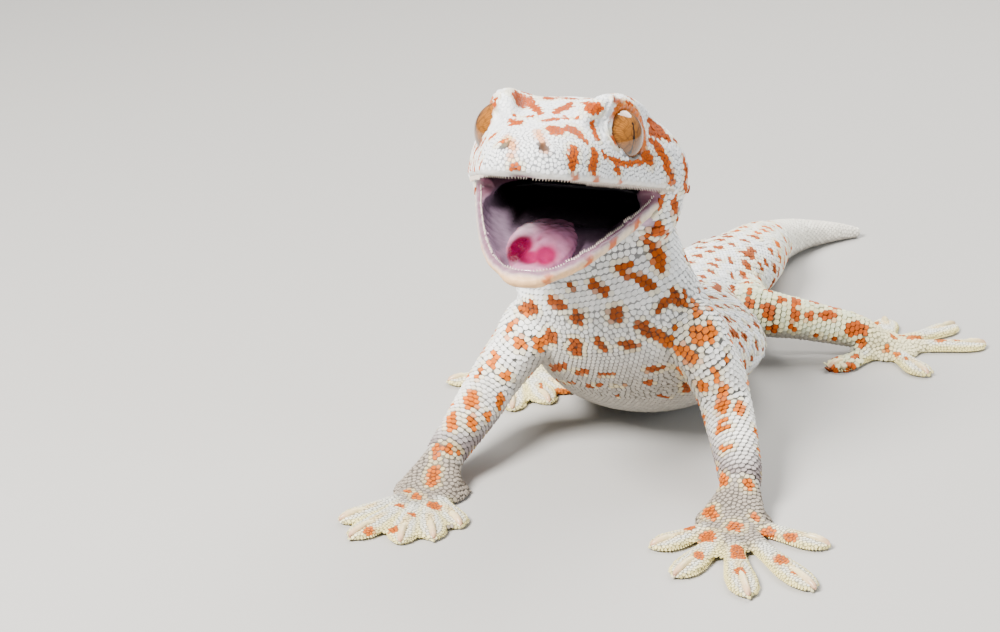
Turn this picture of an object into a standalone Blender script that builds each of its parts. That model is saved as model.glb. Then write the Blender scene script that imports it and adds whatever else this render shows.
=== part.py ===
# Tokay gecko, a still life-size model, mouth open, raised on its hands.
# It faces -Y with its left side on +X and rests on the floor at z = 0.
# Every size below is in millimetres; the last step turns the meshes to metres.
import math

import bmesh
import bpy
import numpy as np
from mathutils import Matrix, Vector

MODEL_NAME = "tokay_gecko"
MILLIMETRE = 0.001

# Gaps and resolution
GAP = 0.35
BODY_VOXEL = 0.6
LIMB_VOXEL = 0.45
SMOOTH_PASSES = 4
SMOOTH_FACTOR = 0.5
# Degrees between the rings that round off the end of a loft, and the angle that stays an edge
END_STEP = 28
SHARP_ANGLE = 50

# Head: the midpoint between the jaw joints, its turn and how wide the mouth opens
JAW_JOINT = (-6.7, 1.0, 52.2)
HEAD_YAW = 0.7
HEAD_PITCH = 18.0
HEAD_ROLL = 1.0
GAPE = 28.0

# Upper head: forward, half width, height over the lip plane, depth under it
SKULL_ROWS = (
    (-13.0, 14.8, 10.2, 7.0),
    (-8.0, 18.2, 12.8, 6.0),
    (-2.0, 19.6, 14.0, 4.6),
    (4.0, 18.6, 14.3, 3.0),
    (10.0, 16.7, 13.5, 1.6),
    (16.0, 14.6, 12.3, 1.1),
    (22.0, 12.5, 10.9, 1.0),
    (28.0, 10.5, 9.0, 1.0),
    (32.0, 9.2, 7.5, 0.9),
    (34.8, 7.8, 5.9, 0.8),
)
# Lower jaw, in the same terms, in the plane that hangs open by GAPE
JAW_ROWS = (
    (-9.0, 16.6, 3.0, 8.0),
    (-4.0, 18.6, 2.5, 8.6),
    (2.0, 18.2, 1.6, 8.0),
    (8.0, 16.1, 1.0, 7.0),
    (14.0, 14.5, 0.8, 6.2),
    (20.0, 12.5, 0.8, 5.4),
    (26.0, 10.3, 0.8, 4.6),
    (31.0, 7.9, 0.8, 3.8),
    (34.4, 5.1, 0.7, 2.8),
)
SKULL_POWER = 2.3
SKULL_SIDES = 32
OUTLINE_STEPS = 6
LIP_RADIUS = 1.15
LIP_SIDES = 10
LIP_STEPS = 24
LIP_OVERLAP = 3.0
LIP_ROUNDING = 0.8
LIP_CORNER = (3.2, 0.6)
LIP_INSET = 1.0
UPPER_LIP_REACH = 3.0
LOWER_LIP_REACH = 0.9
CHEEK_BACK = -9.0
CHEEK_FRONT = 9.0
CHEEK_HOLLOW = 1.6
CHEEK_LAYERS = 6
CHEEK_SIDES = 28
CHEEK_BOW = 2.4
CHEEK_INSET = 0.4
CHEEK_SQUARENESS = 0.35
CHEEK_HOLLOWING = (0.4, 0.3)
JOWL_CENTRE = (14.0, -1.0, -4.6)
JOWL_RADII = (4.3, 8.5, 5.6)

# Mouth room: how far the walls stand in from the outline of the head
MOUTH_WALL = 1.7
MOUTH_BACK = -4.0
MOUTH_FRONT = 35.2
PALATE_HEIGHT = 1.0
FLOOR_DEPTH = 3.4
MOUTH_SIDES = 40
MOUTH_TIP = 36.0
MOUTH_LEAST_HALF = 0.4
MOUTH_ROUNDING = 0.5
# Its layers: level as a share of the palate height or floor depth, drawn in, back end
PALATE_LAYERS = ((1.0, 6.5, -1.0), (0.6, 3.0, MOUTH_BACK), (0.0, 0.6, -1.5))
FLOOR_LAYERS = ((0.3, 0.8, -1.5), (0.8, 2.6, MOUTH_BACK), (1.0, 4.8, -1.0))
SIDE_LAYERS = (0.1, 0.3, 0.5, 0.7, 0.9)
SIDE_BACK = 1.5
SIDE_BOW = 0.8
FRONT_DRAW = 0.7

# Eyes, ears and nostrils, in head terms: sideways, forward, up
EYE_RADIUS = 5.2
EYE_CENTRE = (9.4, 15.3, 7.2)
EYE_AXIS = (0.88, 0.36, 0.12)
RIM_REACH = 2.35
RIM_RADIUS = 5.4
RIM_THICKNESS = 0.95
RIM_SEGMENTS = (32, 10)
EYE_SEGMENTS = (22, 12)
SOCKET_SEGMENTS = (24, 14)
BROW_SIDES = 12
BROW_ROWS = (
    (6.2, 25.0, 9.4, 1.3),
    (8.0, 21.2, 11.7, 1.9),
    (9.4, 16.5, 12.2, 2.1),
    (10.4, 11.0, 12.2, 2.2),
    (11.2, 5.5, 11.6, 2.1),
    (11.6, 0.5, 10.4, 1.7),
)
EAR_CENTRE = (19.2, -4.5, 1.4)
EAR_SIZE = (1.9, 1.1, 2.1)
EAR_SEGMENTS = (14, 10)
NOSTRIL_CENTRE = (3.0, 37.3, 3.5)
NOSTRIL_RADIUS = 0.75
NOSTRIL_SEGMENTS = (10, 8)
NOSTRIL_BUMP = 1.5
# The bump's place against the nostril's: a share sideways, then lengths back and up
BUMP_SHARE = 0.95
BUMP_BACK = 1.5
BUMP_UP = -0.2

# Tongue, in lower jaw terms: forward, half width, height, depth, round this height
TONGUE_LEVEL = -1.6
TONGUE_ROWS = (
    (12.5, 4.4, 1.0, 3.0),
    (16.0, 5.8, 2.0, 3.0),
    (20.0, 6.3, 2.5, 3.0),
    (24.0, 5.8, 2.2, 3.0),
    (27.4, 4.2, 1.6, 2.6),
)
TONGUE_SIDES = 18
TONGUE_POWER = 2.3

# Teeth: a row along each lip
TEETH_PER_SIDE = 12
TOOTH_RADIUS = 0.42
TOOTH_HEIGHT = 1.25
TOOTH_ROOT = 1.0
TOOTH_INSET = 1.75
TOOTH_LEVEL = 0.55
TOOTH_SIDES = 5
TOOTH_BACK = 2.0
TOOTH_FRONT = 0.4
TOOTH_SPREAD = 0.9
TOOTH_ROUNDING = (2.2, 0.7)

# Neck, trunk and tail: x, y, z, half width, height over, depth under
SPINE_SIDES = 36
SPINE_POWER = 2.1
SPINE_ROWS = (
    (-6.7, 9.0, 53.0, 13.0, 8.0, 8.0),
    (-6.0, 6.5, 46.5, 14.4, 10.5, 11.0),
    (-4.0, 4.5, 38.5, 15.0, 11.3, 11.8),
    (-1.8, 5.0, 30.5, 16.4, 11.5, 12.2),
    (0.0, 11.0, 21.8, 18.0, 11.2, 12.6),
    (0.5, 22.0, 14.4, 18.8, 10.6, 12.6),
    (1.5, 32.0, 10.6, 19.4, 10.2, 9.8),
    (1.6, 42.0, 8.9, 19.4, 9.8, 8.1),
    (0.7, 52.0, 8.3, 15.6, 9.3, 7.4),
    (0.7, 62.0, 8.1, 11.9, 8.7, 7.0),
    (2.0, 72.0, 8.1, 10.6, 8.2, 6.9),
    (4.2, 82.0, 8.0, 10.2, 7.9, 6.7),
    (6.6, 92.0, 7.6, 8.9, 7.2, 6.4),
    (7.6, 102.0, 7.0, 7.6, 6.6, 6.6),
    (8.0, 112.0, 5.8, 6.2, 5.6, 6.0),
    (9.6, 120.0, 4.8, 5.1, 4.7, 5.0),
    (12.2, 127.4, 3.9, 4.2, 3.9, 4.2),
    (15.8, 133.2, 3.1, 3.4, 3.0, 3.4),
    (20.2, 138.0, 2.3, 2.5, 2.2, 2.5),
    (24.6, 141.6, 1.5, 1.5, 1.3, 1.6),
)

# Limbs: x, y, z and radius along each length
LIMB_ROWS = {
    "upper_arm_left": ((8.5, 6.0, 25.5, 6.0), (13.8, 2.5, 25.5, 6.2), (17.2, 2.8, 20.5, 5.4),
                       (19.4, 4.2, 15.5, 5.1), (20.4, 3.8, 12.6, 4.8)),
    "forearm_left": ((20.4, 3.8, 12.6, 4.7), (22.3, -0.6, 10.4, 4.5), (24.4, -6.2, 8.0, 4.2),
                     (26.2, -11.4, 5.9, 3.9), (27.0, -14.6, 4.5, 3.6)),
    "upper_arm_right": ((-8.5, 6.0, 25.0, 6.0), (-13.6, 2.2, 24.6, 6.0), (-17.0, 1.5, 19.8, 5.2),
                        (-20.3, 1.4, 15.0, 4.8), (-21.8, 0.3, 12.5, 4.7)),
    "forearm_right": ((-21.8, 0.3, 12.5, 4.6), (-22.8, -5.0, 10.2, 4.4), (-24.1, -11.5, 7.6, 3.9),
                      (-25.6, -17.0, 4.9, 3.5)),
    "thigh_left": ((6.0, 84.0, 7.4, 5.0), (9.4, 77.5, 7.2, 5.0), (12.0, 70.0, 7.6, 4.8),
                   (13.6, 64.8, 8.6, 4.8), (13.9, 61.8, 9.0, 4.8)),
    "shank_left": ((13.9, 61.8, 9.0, 4.8), (19.0, 62.0, 8.3, 4.5), (24.6, 63.6, 7.3, 4.0),
                   (31.3, 65.0, 6.0, 3.6), (36.3, 66.6, 4.7, 3.3)),
    "thigh_right": ((1.0, 84.0, 7.4, 5.0), (-5.5, 78.0, 7.4, 5.0), (-10.8, 70.0, 8.0, 4.8),
                    (-14.4, 62.5, 9.2, 4.8)),
    "shank_right": ((-14.4, 62.5, 9.2, 4.7), (-18.8, 56.0, 8.0, 4.4), (-22.9, 49.8, 6.3, 4.0),
                    (-25.6, 44.6, 4.7, 3.5)),
}

# Hands and feet: the palm's path from the joint to its middle, then the toes, each with
# its heading in degrees from -Y towards +X and its length from the middle of the palm
PALM_SECTIONS = ((3.5, 3.0, 3.4), (4.5, 2.5, 3.4), (5.6, 2.0, 2.2), (5.0, 1.5, 1.8))
EXTREMITIES = {
    "hand_left": dict(
        path=((27.0, -14.4, 4.4), (27.2, -17.6, 3.2), (27.2, -21.2, 2.0), (27.2, -24.4, 1.5)),
        toes=((-36.0, 17.2), (-9.0, 23.4), (12.0, 27.8), (35.0, 27.4), (70.0, 17.4)),
    ),
    "hand_right": dict(
        path=((-25.6, -16.8, 4.8), (-26.0, -19.6, 3.3), (-26.2, -22.8, 2.0), (-26.3, -25.8, 1.5)),
        toes=((32.0, 15.5), (15.0, 19.5), (0.0, 21.5), (-14.5, 23.0), (-30.0, 19.5)),
    ),
    "foot_left": dict(
        path=((36.2, 66.5, 4.7), (38.8, 68.0, 3.3), (41.2, 69.6, 2.0), (43.0, 70.8, 1.5)),
        toes=((-29.0, 17.0), (34.0, 15.5), (108.0, 20.0), (142.0, 20.5), (186.0, 16.0)),
    ),
    "foot_right": dict(
        path=((-25.9, 44.2, 4.7), (-26.1, 40.6, 3.3), (-25.7, 36.8, 2.0), (-25.4, 34.0, 1.5)),
        toes=((50.0, 13.0), (28.0, 16.5), (5.0, 19.5), (-19.0, 19.5), (-50.0, 15.5)),
    ),
}
# Along a toe: share of its length, half width, height, and the height of its middle ridge
TOE_STATIONS = (
    (0.08, 2.2, 1.9),
    (0.36, 1.85, 1.6),
    (0.56, 2.15, 1.3),
    (0.78, 2.9, 1.05),
    (0.90, 2.75, 0.85),
    (0.97, 2.0, 0.65),
)
TOE_LEVEL = 0.9
TOE_UNDER = 1.2
TOE_BEND = 7.0
RIDGE_STATIONS = ((0.45, 1.1, 1.5), (0.68, 0.95, 1.45), (0.88, 0.8, 1.15), (0.97, 0.62, 0.8))
CLAW_RADIUS = 0.42
CLAW_LENGTH = 1.7
# Where the claw starts along the toe, how far over the ridge, and how high its tip ends
CLAW_ROOT = 0.96
CLAW_LIFT = 0.15
CLAW_TIP_LEVEL = 0.35
CLAW_SWELL = 1.3
CLAW_TAPER = 0.55
CLAW_SIDES = 8
PAD_SIDES = 16
PAD_POWER = 2.2
RIDGE_SIDES = 10
LIMB_SIDES = 18
WEB_LEVEL = 0.7
WEB_RADII = (7.0, 7.0, 1.5)

# Thin cuts across the spine: a point on the plane, its normal and how wide the cut is
NECK_CUT = ((-5.0, 1.5, 43.4), (0.05, -0.36, 0.93), 50.0)
CHEST_CUT = ((-2.0, 4.5, 35.0), (-0.1, -0.38, 0.92), 48.0)
TAIL_CUTS = (
    ((6.8, 94.0, 7.6), (0.14, 0.98, -0.06), 34.0),
    ((8.6, 115.5, 5.4), (0.2, 0.97, -0.08), 20.0),
    ((14.4, 131.0, 3.5), (0.55, 0.83, -0.08), 14.0),
)
LIMB_CUT_WIDTHS = (22.0, 15.0)
JAW_CUT_FRONT = 13.0
JAW_CUT_BACK = -6.5
JAW_CUT_WIDTH = 46.0
JAW_CUT_DROP = 8.5

# The room under the floor that is cut away, and pieces too small to keep
GROUND = ((-200.0, -200.0, -40.0), (200.0, 300.0, 0.0))
LEAST_VOLUME = 20.0

# Where each length of the body is found after the cuts
BODY_LANDMARKS = {
    "head": (-6.7, -9.0, 57.0),
    "neck": (-3.5, 6.0, 39.5),
    "torso": (1.0, 42.0, 17.0),
    "tail_base": (8.0, 105.0, 7.0),
    "tail_middle": (10.5, 123.0, 4.5),
    "tail_tip": (19.5, 137.0, 2.5),
}
JAW_LANDMARK = (0.0, 16.0, -3.0)

# Triangles of the whole body and of a whole limb before they are parted
BODY_TRIANGLES = 40000
LIMB_TRIANGLES = 16000
# Triangles that each node keeps, before its fine parts are joined
TRIANGLES = {
    "head": 2600, "lower_jaw": 1000, "neck": 400, "torso": 1300,
    "tail_base": 420, "tail_middle": 300, "tail_tip": 260,
    "upper_arm": 300, "forearm": 300, "thigh": 300, "shank": 300,
    "hand": 1000, "foot": 950,
}

# Colours: base colour and roughness
FINISHES = {
    "skin": ((0.80, 0.80, 0.76), 0.55),
    "jaw_skin": ((0.82, 0.72, 0.62), 0.5),
    "toe_skin": ((0.80, 0.74, 0.48), 0.5),
    "tongue": ((0.72, 0.28, 0.34), 0.25),
    "eye": ((0.62, 0.30, 0.08), 0.1),
}


def smooth_rows(rows, steps):
    """Rows read from a Catmull-Rom curve through the given ones."""
    rows = np.array(rows, dtype=float)
    padded = np.vstack([2 * rows[0] - rows[1], rows, 2 * rows[-1] - rows[-2]])
    result = []
    for i in range(len(rows) - 1):
        a, b, c, d = padded[i:i + 4]
        for k in range(steps):
            t = k / steps
            result.append(0.5 * (2 * b + (c - a) * t + (2 * a - 5 * b + 4 * c - d) * t ** 2
                                 + (3 * b - a - 3 * c + d) * t ** 3))
    result.append(rows[-1])
    return np.array(result)


def new_object(name, mesh, collection):
    obj = bpy.data.objects.new(name, mesh)
    collection.objects.link(obj)
    return obj


def skin_loops(name, loops, collection):
    """A closed mesh over a stack of loops that all have as many points."""
    count = len(loops[0])
    points = [tuple(p) for loop in loops for p in loop]
    faces = []
    for i in range(len(loops) - 1):
        for k in range(count):
            n = (k + 1) % count
            faces.append((i * count + k, i * count + n, (i + 1) * count + n, (i + 1) * count + k))
    faces.append(tuple(reversed(range(count))))
    last = (len(loops) - 1) * count
    faces.append(tuple(range(last, last + count)))
    mesh = bpy.data.meshes.new(name)
    mesh.from_pydata(points, [], faces)
    shape = bmesh.new()
    shape.from_mesh(mesh)
    bmesh.ops.recalc_face_normals(shape, faces=shape.faces)
    shape.to_mesh(mesh)
    shape.free()
    return new_object(name, mesh, collection)


def loft(name, rows, collection, sides=20, power=2.0, steps=4, side=(1.0, 0.0, 0.0), place=None):
    """A body with rounded ends along rows of x, y, z, half width, height over, depth under.

    The side vector crossed with the way the rows run points over.
    """
    rows = smooth_rows(rows, steps)
    centres = rows[:, :3]
    tangents = np.gradient(centres, axis=0)
    tangents /= np.linalg.norm(tangents, axis=1)[:, None]
    rings = []
    for end, k in ((-1, 3), (-1, 2), (-1, 1)):
        rings.append((0, end, k))
    rings += [(i, 0, 0) for i in range(len(rows))]
    for end, k in ((1, 1), (1, 2), (1, 3)):
        rings.append((len(rows) - 1, end, k))
    loops = []
    for index, end, k in rings:
        bow = math.radians(END_STEP * k)
        tangent = tangents[index]
        width, over, under = rows[index, 3:] * math.cos(bow)
        reach = 0.5 * (rows[index, 3] + 0.5 * (rows[index, 4] + rows[index, 5])) * math.sin(bow)
        centre = centres[index] + tangent * reach * end
        across = np.array(side) - tangent * np.dot(side, tangent)
        across /= np.linalg.norm(across)
        upward = np.cross(across, tangent)
        loop = []
        for n in range(sides):
            turn = 2 * math.pi * n / sides
            c = math.cos(turn)
            s = math.sin(turn)
            a = math.copysign(abs(c) ** (2 / power), c) * width
            b = math.copysign(abs(s) ** (2 / power), s) * (over if s > 0 else under)
            loop.append(centre + across * a + upward * b)
        loops.append(loop)
    obj = skin_loops(name, loops, collection)
    if place is not None:
        obj.data.transform(place)
    return obj


def ball(name, centre, radii, collection, segments=20, rings=14):
    shape = bmesh.new()
    bmesh.ops.create_uvsphere(shape, u_segments=segments, v_segments=rings, radius=1.0)
    matrix = Matrix.Translation(Vector(centre)) @ Matrix.Diagonal((*radii, 1.0))
    bmesh.ops.transform(shape, matrix=matrix, verts=shape.verts)
    mesh = bpy.data.meshes.new(name)
    shape.to_mesh(mesh)
    shape.free()
    return new_object(name, mesh, collection)


def bake(obj):
    """Replaces the object's mesh by what its modifiers make of it."""
    depsgraph = bpy.context.evaluated_depsgraph_get()
    mesh = bpy.data.meshes.new_from_object(obj.evaluated_get(depsgraph))
    obj.modifiers.clear()
    obj.data = mesh


def fuse(name, pieces, voxel, collection):
    """One closed skin over overlapping pieces, smoothed."""
    shape = bmesh.new()
    for piece in pieces:
        shape.from_mesh(piece.data)
        bpy.data.objects.remove(piece)
    mesh = bpy.data.meshes.new(name)
    shape.to_mesh(mesh)
    shape.free()
    obj = new_object(name, mesh, collection)
    remesh = obj.modifiers.new("remesh", "REMESH")
    remesh.mode = "VOXEL"
    remesh.voxel_size = voxel
    relax = obj.modifiers.new("relax", "SMOOTH")
    relax.factor = SMOOTH_FACTOR
    relax.iterations = SMOOTH_PASSES
    bake(obj)
    return obj


def combine(obj, other, operation, keep=False):
    """A Boolean of two closed meshes, applied."""
    step = obj.modifiers.new(operation.lower(), "BOOLEAN")
    step.operation = operation
    step.object = other
    step.solver = "EXACT"
    bake(obj)
    if not keep:
        bpy.data.objects.remove(other)


def thin(obj, triangles):
    """Brings a mesh to about this many triangles."""
    obj.data.calc_loop_triangles()
    ratio = triangles / max(1, len(obj.data.loop_triangles))
    if ratio < 1.0:
        step = obj.modifiers.new("thin", "DECIMATE")
        step.ratio = ratio
        step.use_collapse_triangulate = True
        bake(obj)


def surfaces(shape):
    """The faces of each connected surface of a bmesh, with its volume."""
    found = []
    left = set(shape.faces)
    while left:
        stack = [left.pop()]
        group = []
        while stack:
            face = stack.pop()
            group.append(face)
            for edge in face.edges:
                for near in edge.link_faces:
                    if near in left:
                        left.remove(near)
                        stack.append(near)
        volume = 0.0
        for face in group:
            first = face.verts[0].co
            for i in range(1, len(face.verts) - 1):
                volume += first.dot(face.verts[i].co.cross(face.verts[i + 1].co)) / 6
        found.append((volume, group))
    return sorted(found, key=lambda item: -item[0])


def keep_largest(obj):
    shape = bmesh.new()
    shape.from_mesh(obj.data)
    bmesh.ops.triangulate(shape, faces=shape.faces)
    for volume, group in surfaces(shape)[1:]:
        bmesh.ops.delete(shape, geom=group, context="FACES")
    loose = [v for v in shape.verts if not v.link_faces]
    bmesh.ops.delete(shape, geom=loose, context="VERTS")
    shape.to_mesh(obj.data)
    shape.free()


def split(obj, collection):
    """One object for each closed surface of any size."""
    shape = bmesh.new()
    shape.from_mesh(obj.data)
    pieces = []
    for volume, group in surfaces(shape):
        if volume < LEAST_VOLUME:
            continue
        numbers = {}
        faces = []
        for face in group:
            faces.append([numbers.setdefault(v.index, len(numbers)) for v in face.verts])
        shape.verts.ensure_lookup_table()
        mesh = bpy.data.meshes.new(obj.name + "_piece")
        mesh.from_pydata([tuple(shape.verts[i].co) for i in numbers], [], faces)
        pieces.append(new_object(obj.name + "_piece", mesh, collection))
    shape.free()
    bpy.data.objects.remove(obj)
    return pieces


def nearest(pieces, landmark):
    """The piece whose middle lies nearest to a point."""
    def distance(piece):
        corners = np.array([v.co for v in piece.data.vertices])
        middle = (corners.min(axis=0) + corners.max(axis=0)) / 2
        return np.linalg.norm(middle - np.array(landmark))
    return min(pieces, key=distance)


def slab(name, point, normal, width, collection):
    """A thin square plate for a parting cut."""
    normal = Vector(normal).normalized()
    turn = normal.to_track_quat("Z", "Y").to_matrix().to_4x4()
    shape = bmesh.new()
    bmesh.ops.create_cube(shape, size=1.0)
    matrix = Matrix.Translation(Vector(point)) @ turn @ Matrix.Diagonal((width, width, GAP, 1.0))
    bmesh.ops.transform(shape, matrix=matrix, verts=shape.verts)
    mesh = bpy.data.meshes.new(name)
    shape.to_mesh(mesh)
    shape.free()
    return new_object(name, mesh, collection)


def box(name, low, high, collection, place=None):
    shape = bmesh.new()
    bmesh.ops.create_cube(shape, size=1.0)
    size = Vector(high) - Vector(low)
    middle = (Vector(high) + Vector(low)) / 2
    stretch = Matrix.Translation(middle) @ Matrix.Diagonal((*size, 1.0))
    bmesh.ops.transform(shape, matrix=stretch, verts=shape.verts)
    mesh = bpy.data.meshes.new(name)
    shape.to_mesh(mesh)
    shape.free()
    obj = new_object(name, mesh, collection)
    if place is not None:
        obj.data.transform(place)
    return obj


def head_matrix():
    """Head terms are x sideways, -y forward, z up from the lip plane."""
    yaw = Matrix.Rotation(math.radians(HEAD_YAW), 4, "Z")
    roll = Matrix.Rotation(math.radians(-HEAD_ROLL), 4, "Y")
    pitch = Matrix.Rotation(math.radians(-HEAD_PITCH), 4, "X")
    return Matrix.Translation(Vector(JAW_JOINT)) @ yaw @ roll @ pitch


def opened(angle):
    """The plane that hangs below the upper lip by an angle in degrees."""
    return head_matrix() @ Matrix.Rotation(math.radians(angle), 4, "X")


def outline_width(u, rows):
    table = smooth_rows([row[:2] for row in rows], OUTLINE_STEPS)
    return float(np.interp(u, table[:, 0], table[:, 1]))


def head_rows(rows, level=0.0):
    """Rows from the snout backwards, for a loft."""
    return [(0.0, -u, level, width, over, under) for u, width, over, under in reversed(rows)]


def lip(name, rows, reach, place, collection):
    """A round rim along the outline of a jaw, from one corner of the mouth to the other."""
    back = CHEEK_FRONT - LIP_OVERLAP
    front = rows[-1][0] + reach
    bend, power = LIP_CORNER
    path = []
    for k in range(LIP_STEPS + 1):
        turn = math.pi * k / LIP_STEPS
        u = back + (front - back) * math.sin(turn) ** LIP_ROUNDING
        half = outline_width(min(u, rows[-1][0]), rows) - LIP_INSET
        s = math.copysign(min(1.0, abs(math.cos(turn)) * bend) ** power, math.cos(turn)) * half
        path.append((s, -u, 0.0, LIP_RADIUS, LIP_RADIUS, LIP_RADIUS))
    return loft(name, path, collection, sides=LIP_SIDES, steps=1, side=(0.0, 0.0, 1.0), place=place)


def mouth_outline(shrink, back, front):
    """A level loop inside the outline of the head."""
    loop = []
    for k in range(MOUTH_SIDES):
        turn = 2 * math.pi * k / MOUTH_SIDES
        u = (front + back) / 2 + (front - back) / 2 * math.cos(turn)
        half = max(MOUTH_LEAST_HALF, outline_width(min(u, MOUTH_TIP), SKULL_ROWS) - shrink)
        bow = abs(math.sin(turn)) ** MOUTH_ROUNDING
        loop.append((math.copysign(half * bow, math.sin(turn)), u))
    return loop


def mouth_room(name, inset, collection):
    """The open space between palate, cheeks and floor of the mouth."""
    palate = PALATE_HEIGHT - inset
    floor = FLOOR_DEPTH - inset
    layers = [(0.0, palate * share, drawn_in, back) for share, drawn_in, back in PALATE_LAYERS]
    for share in SIDE_LAYERS:
        bow = CHEEK_HOLLOW * SIDE_BOW * math.sin(math.pi * share)
        layers.append((GAPE * share, 0.0, bow, SIDE_BACK))
    layers += [(GAPE, -floor * share, drawn_in, back) for share, drawn_in, back in FLOOR_LAYERS]
    loops = []
    for angle, level, drawn_in, back in layers:
        place = opened(angle)
        front = MOUTH_FRONT - FRONT_DRAW * drawn_in - inset
        outline = mouth_outline(MOUTH_WALL + drawn_in + inset, back + inset, front)
        loops.append([place @ Vector((s, -u, level)) for s, u in outline])
    return skin_loops(name, loops, collection)


def cheeks(collection):
    """The flesh behind the corners of the mouth, from upper to lower jaw."""
    loops = []
    even, swing = CHEEK_HOLLOWING
    for k in range(CHEEK_LAYERS + 1):
        share = k / CHEEK_LAYERS
        bow = math.sin(math.pi * share)
        place = opened(GAPE * share)
        front = CHEEK_FRONT - CHEEK_BOW * bow
        loop = []
        for n in range(CHEEK_SIDES):
            turn = 2 * math.pi * n / CHEEK_SIDES
            u = (front + CHEEK_BACK) / 2 + (front - CHEEK_BACK) / 2 * math.cos(turn)
            hollow = CHEEK_HOLLOW * bow * (even + swing * math.cos(turn))
            half = outline_width(u, SKULL_ROWS) - CHEEK_INSET - hollow
            across = half * abs(math.sin(turn)) ** CHEEK_SQUARENESS
            loop.append(place @ Vector((math.copysign(across, math.sin(turn)), -u, 0.0)))
        loops.append(loop)
    return skin_loops("cheeks", loops, collection)


def eye_frame(sign):
    """Centre and outward axis of an eye, in model terms."""
    place = head_matrix()
    centre = place @ Vector((EYE_CENTRE[0] * sign, -EYE_CENTRE[1], EYE_CENTRE[2]))
    axis = place.to_3x3() @ Vector((EYE_AXIS[0] * sign, -EYE_AXIS[1], EYE_AXIS[2])).normalized()
    return centre, axis


def orbital_rim(sign, collection):
    centre, axis = eye_frame(sign)
    turn = axis.to_track_quat("Z", "Y").to_matrix().to_4x4()
    around, across = RIM_SEGMENTS
    bpy.ops.mesh.primitive_torus_add(major_radius=RIM_RADIUS, minor_radius=RIM_THICKNESS,
                                     major_segments=around, minor_segments=across)
    ring = bpy.context.object
    mesh = ring.data.copy()
    bpy.data.objects.remove(ring)
    mesh.transform(Matrix.Translation(centre + axis * RIM_REACH) @ turn)
    return new_object("rim", mesh, collection)


def body_pieces(work):
    """Everything from the snout to the tip of the tail, still as overlapping shapes."""
    place = head_matrix()
    jaw = opened(GAPE)
    pieces = [
        loft("skull", head_rows(SKULL_ROWS), work, sides=SKULL_SIDES, power=SKULL_POWER, place=place),
        loft("jaw", head_rows(JAW_ROWS), work, sides=SKULL_SIDES, place=jaw),
        lip("upper_lip", SKULL_ROWS, UPPER_LIP_REACH, place, work),
        lip("lower_lip", JAW_ROWS, LOWER_LIP_REACH, jaw, work),
        cheeks(work),
        loft("spine", SPINE_ROWS, work, sides=SPINE_SIDES, power=SPINE_POWER),
    ]
    for sign in (1, -1):
        brow = [(x * sign, -u, v, r, r, r) for x, u, v, r in BROW_ROWS]
        pieces.append(loft("brow", brow, work, sides=BROW_SIDES, place=place))
        x, u, v = JOWL_CENTRE
        jowl = ball("jowl", (x * sign, -u, v), JOWL_RADII, work)
        jowl.data.transform(jaw)
        pieces.append(jowl)
        pieces.append(orbital_rim(sign, work))
        x, u, v = NOSTRIL_CENTRE
        middle = (x * sign * BUMP_SHARE, BUMP_BACK - u, v + BUMP_UP)
        bump = ball("bump", middle, (NOSTRIL_BUMP,) * 3, work)
        bump.data.transform(place)
        pieces.append(bump)
    return pieces


def tooth(base, direction, work):
    """A low cone whose root is sunk in the jaw."""
    shape = bmesh.new()
    bmesh.ops.create_cone(shape, cap_ends=True, segments=TOOTH_SIDES, radius1=TOOTH_RADIUS, radius2=0.0,
                          depth=TOOTH_HEIGHT + TOOTH_ROOT)
    turn = direction.to_track_quat("Z", "Y").to_matrix().to_4x4()
    middle = base + direction * (TOOTH_HEIGHT - TOOTH_ROOT) / 2
    bmesh.ops.transform(shape, matrix=Matrix.Translation(middle) @ turn, verts=shape.verts)
    mesh = bpy.data.meshes.new("tooth")
    shape.to_mesh(mesh)
    shape.free()
    return new_object("tooth", mesh, work)


def tooth_row(rows, reach, place, direction, level, work):
    """Teeth evenly spaced along the lip, from corner to corner."""
    teeth = []
    back = CHEEK_FRONT + TOOTH_BACK
    front = rows[-1][0] + reach - TOOTH_INSET - TOOTH_FRONT
    bend, power = TOOTH_ROUNDING
    way = (place.to_3x3() @ Vector(direction)).normalized()
    for sign in (1, -1):
        for k in range(TEETH_PER_SIDE):
            turn = (k + 0.5) / TEETH_PER_SIDE * math.pi / 2
            u = back + (front - back) * math.sin(turn) ** TOOTH_SPREAD
            half = outline_width(min(u, rows[-1][0]), rows) - TOOTH_INSET
            half *= min(1.0, bend * math.cos(turn)) ** power
            teeth.append(tooth(place @ Vector((sign * half, -u, level)), way, work))
    return teeth


def join_group(obj, pieces, solver):
    """One Boolean union of a node with a collection of closed pieces."""
    group = bpy.data.collections.new("joined")
    bpy.context.scene.collection.children.link(group)
    for piece in pieces:
        group.objects.link(piece)
    step = obj.modifiers.new("join", "BOOLEAN")
    step.operation = "UNION"
    step.operand_type = "COLLECTION"
    step.collection = group
    step.solver = solver
    bake(obj)
    for piece in pieces:
        bpy.data.objects.remove(piece)
    bpy.data.collections.remove(group)


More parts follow.
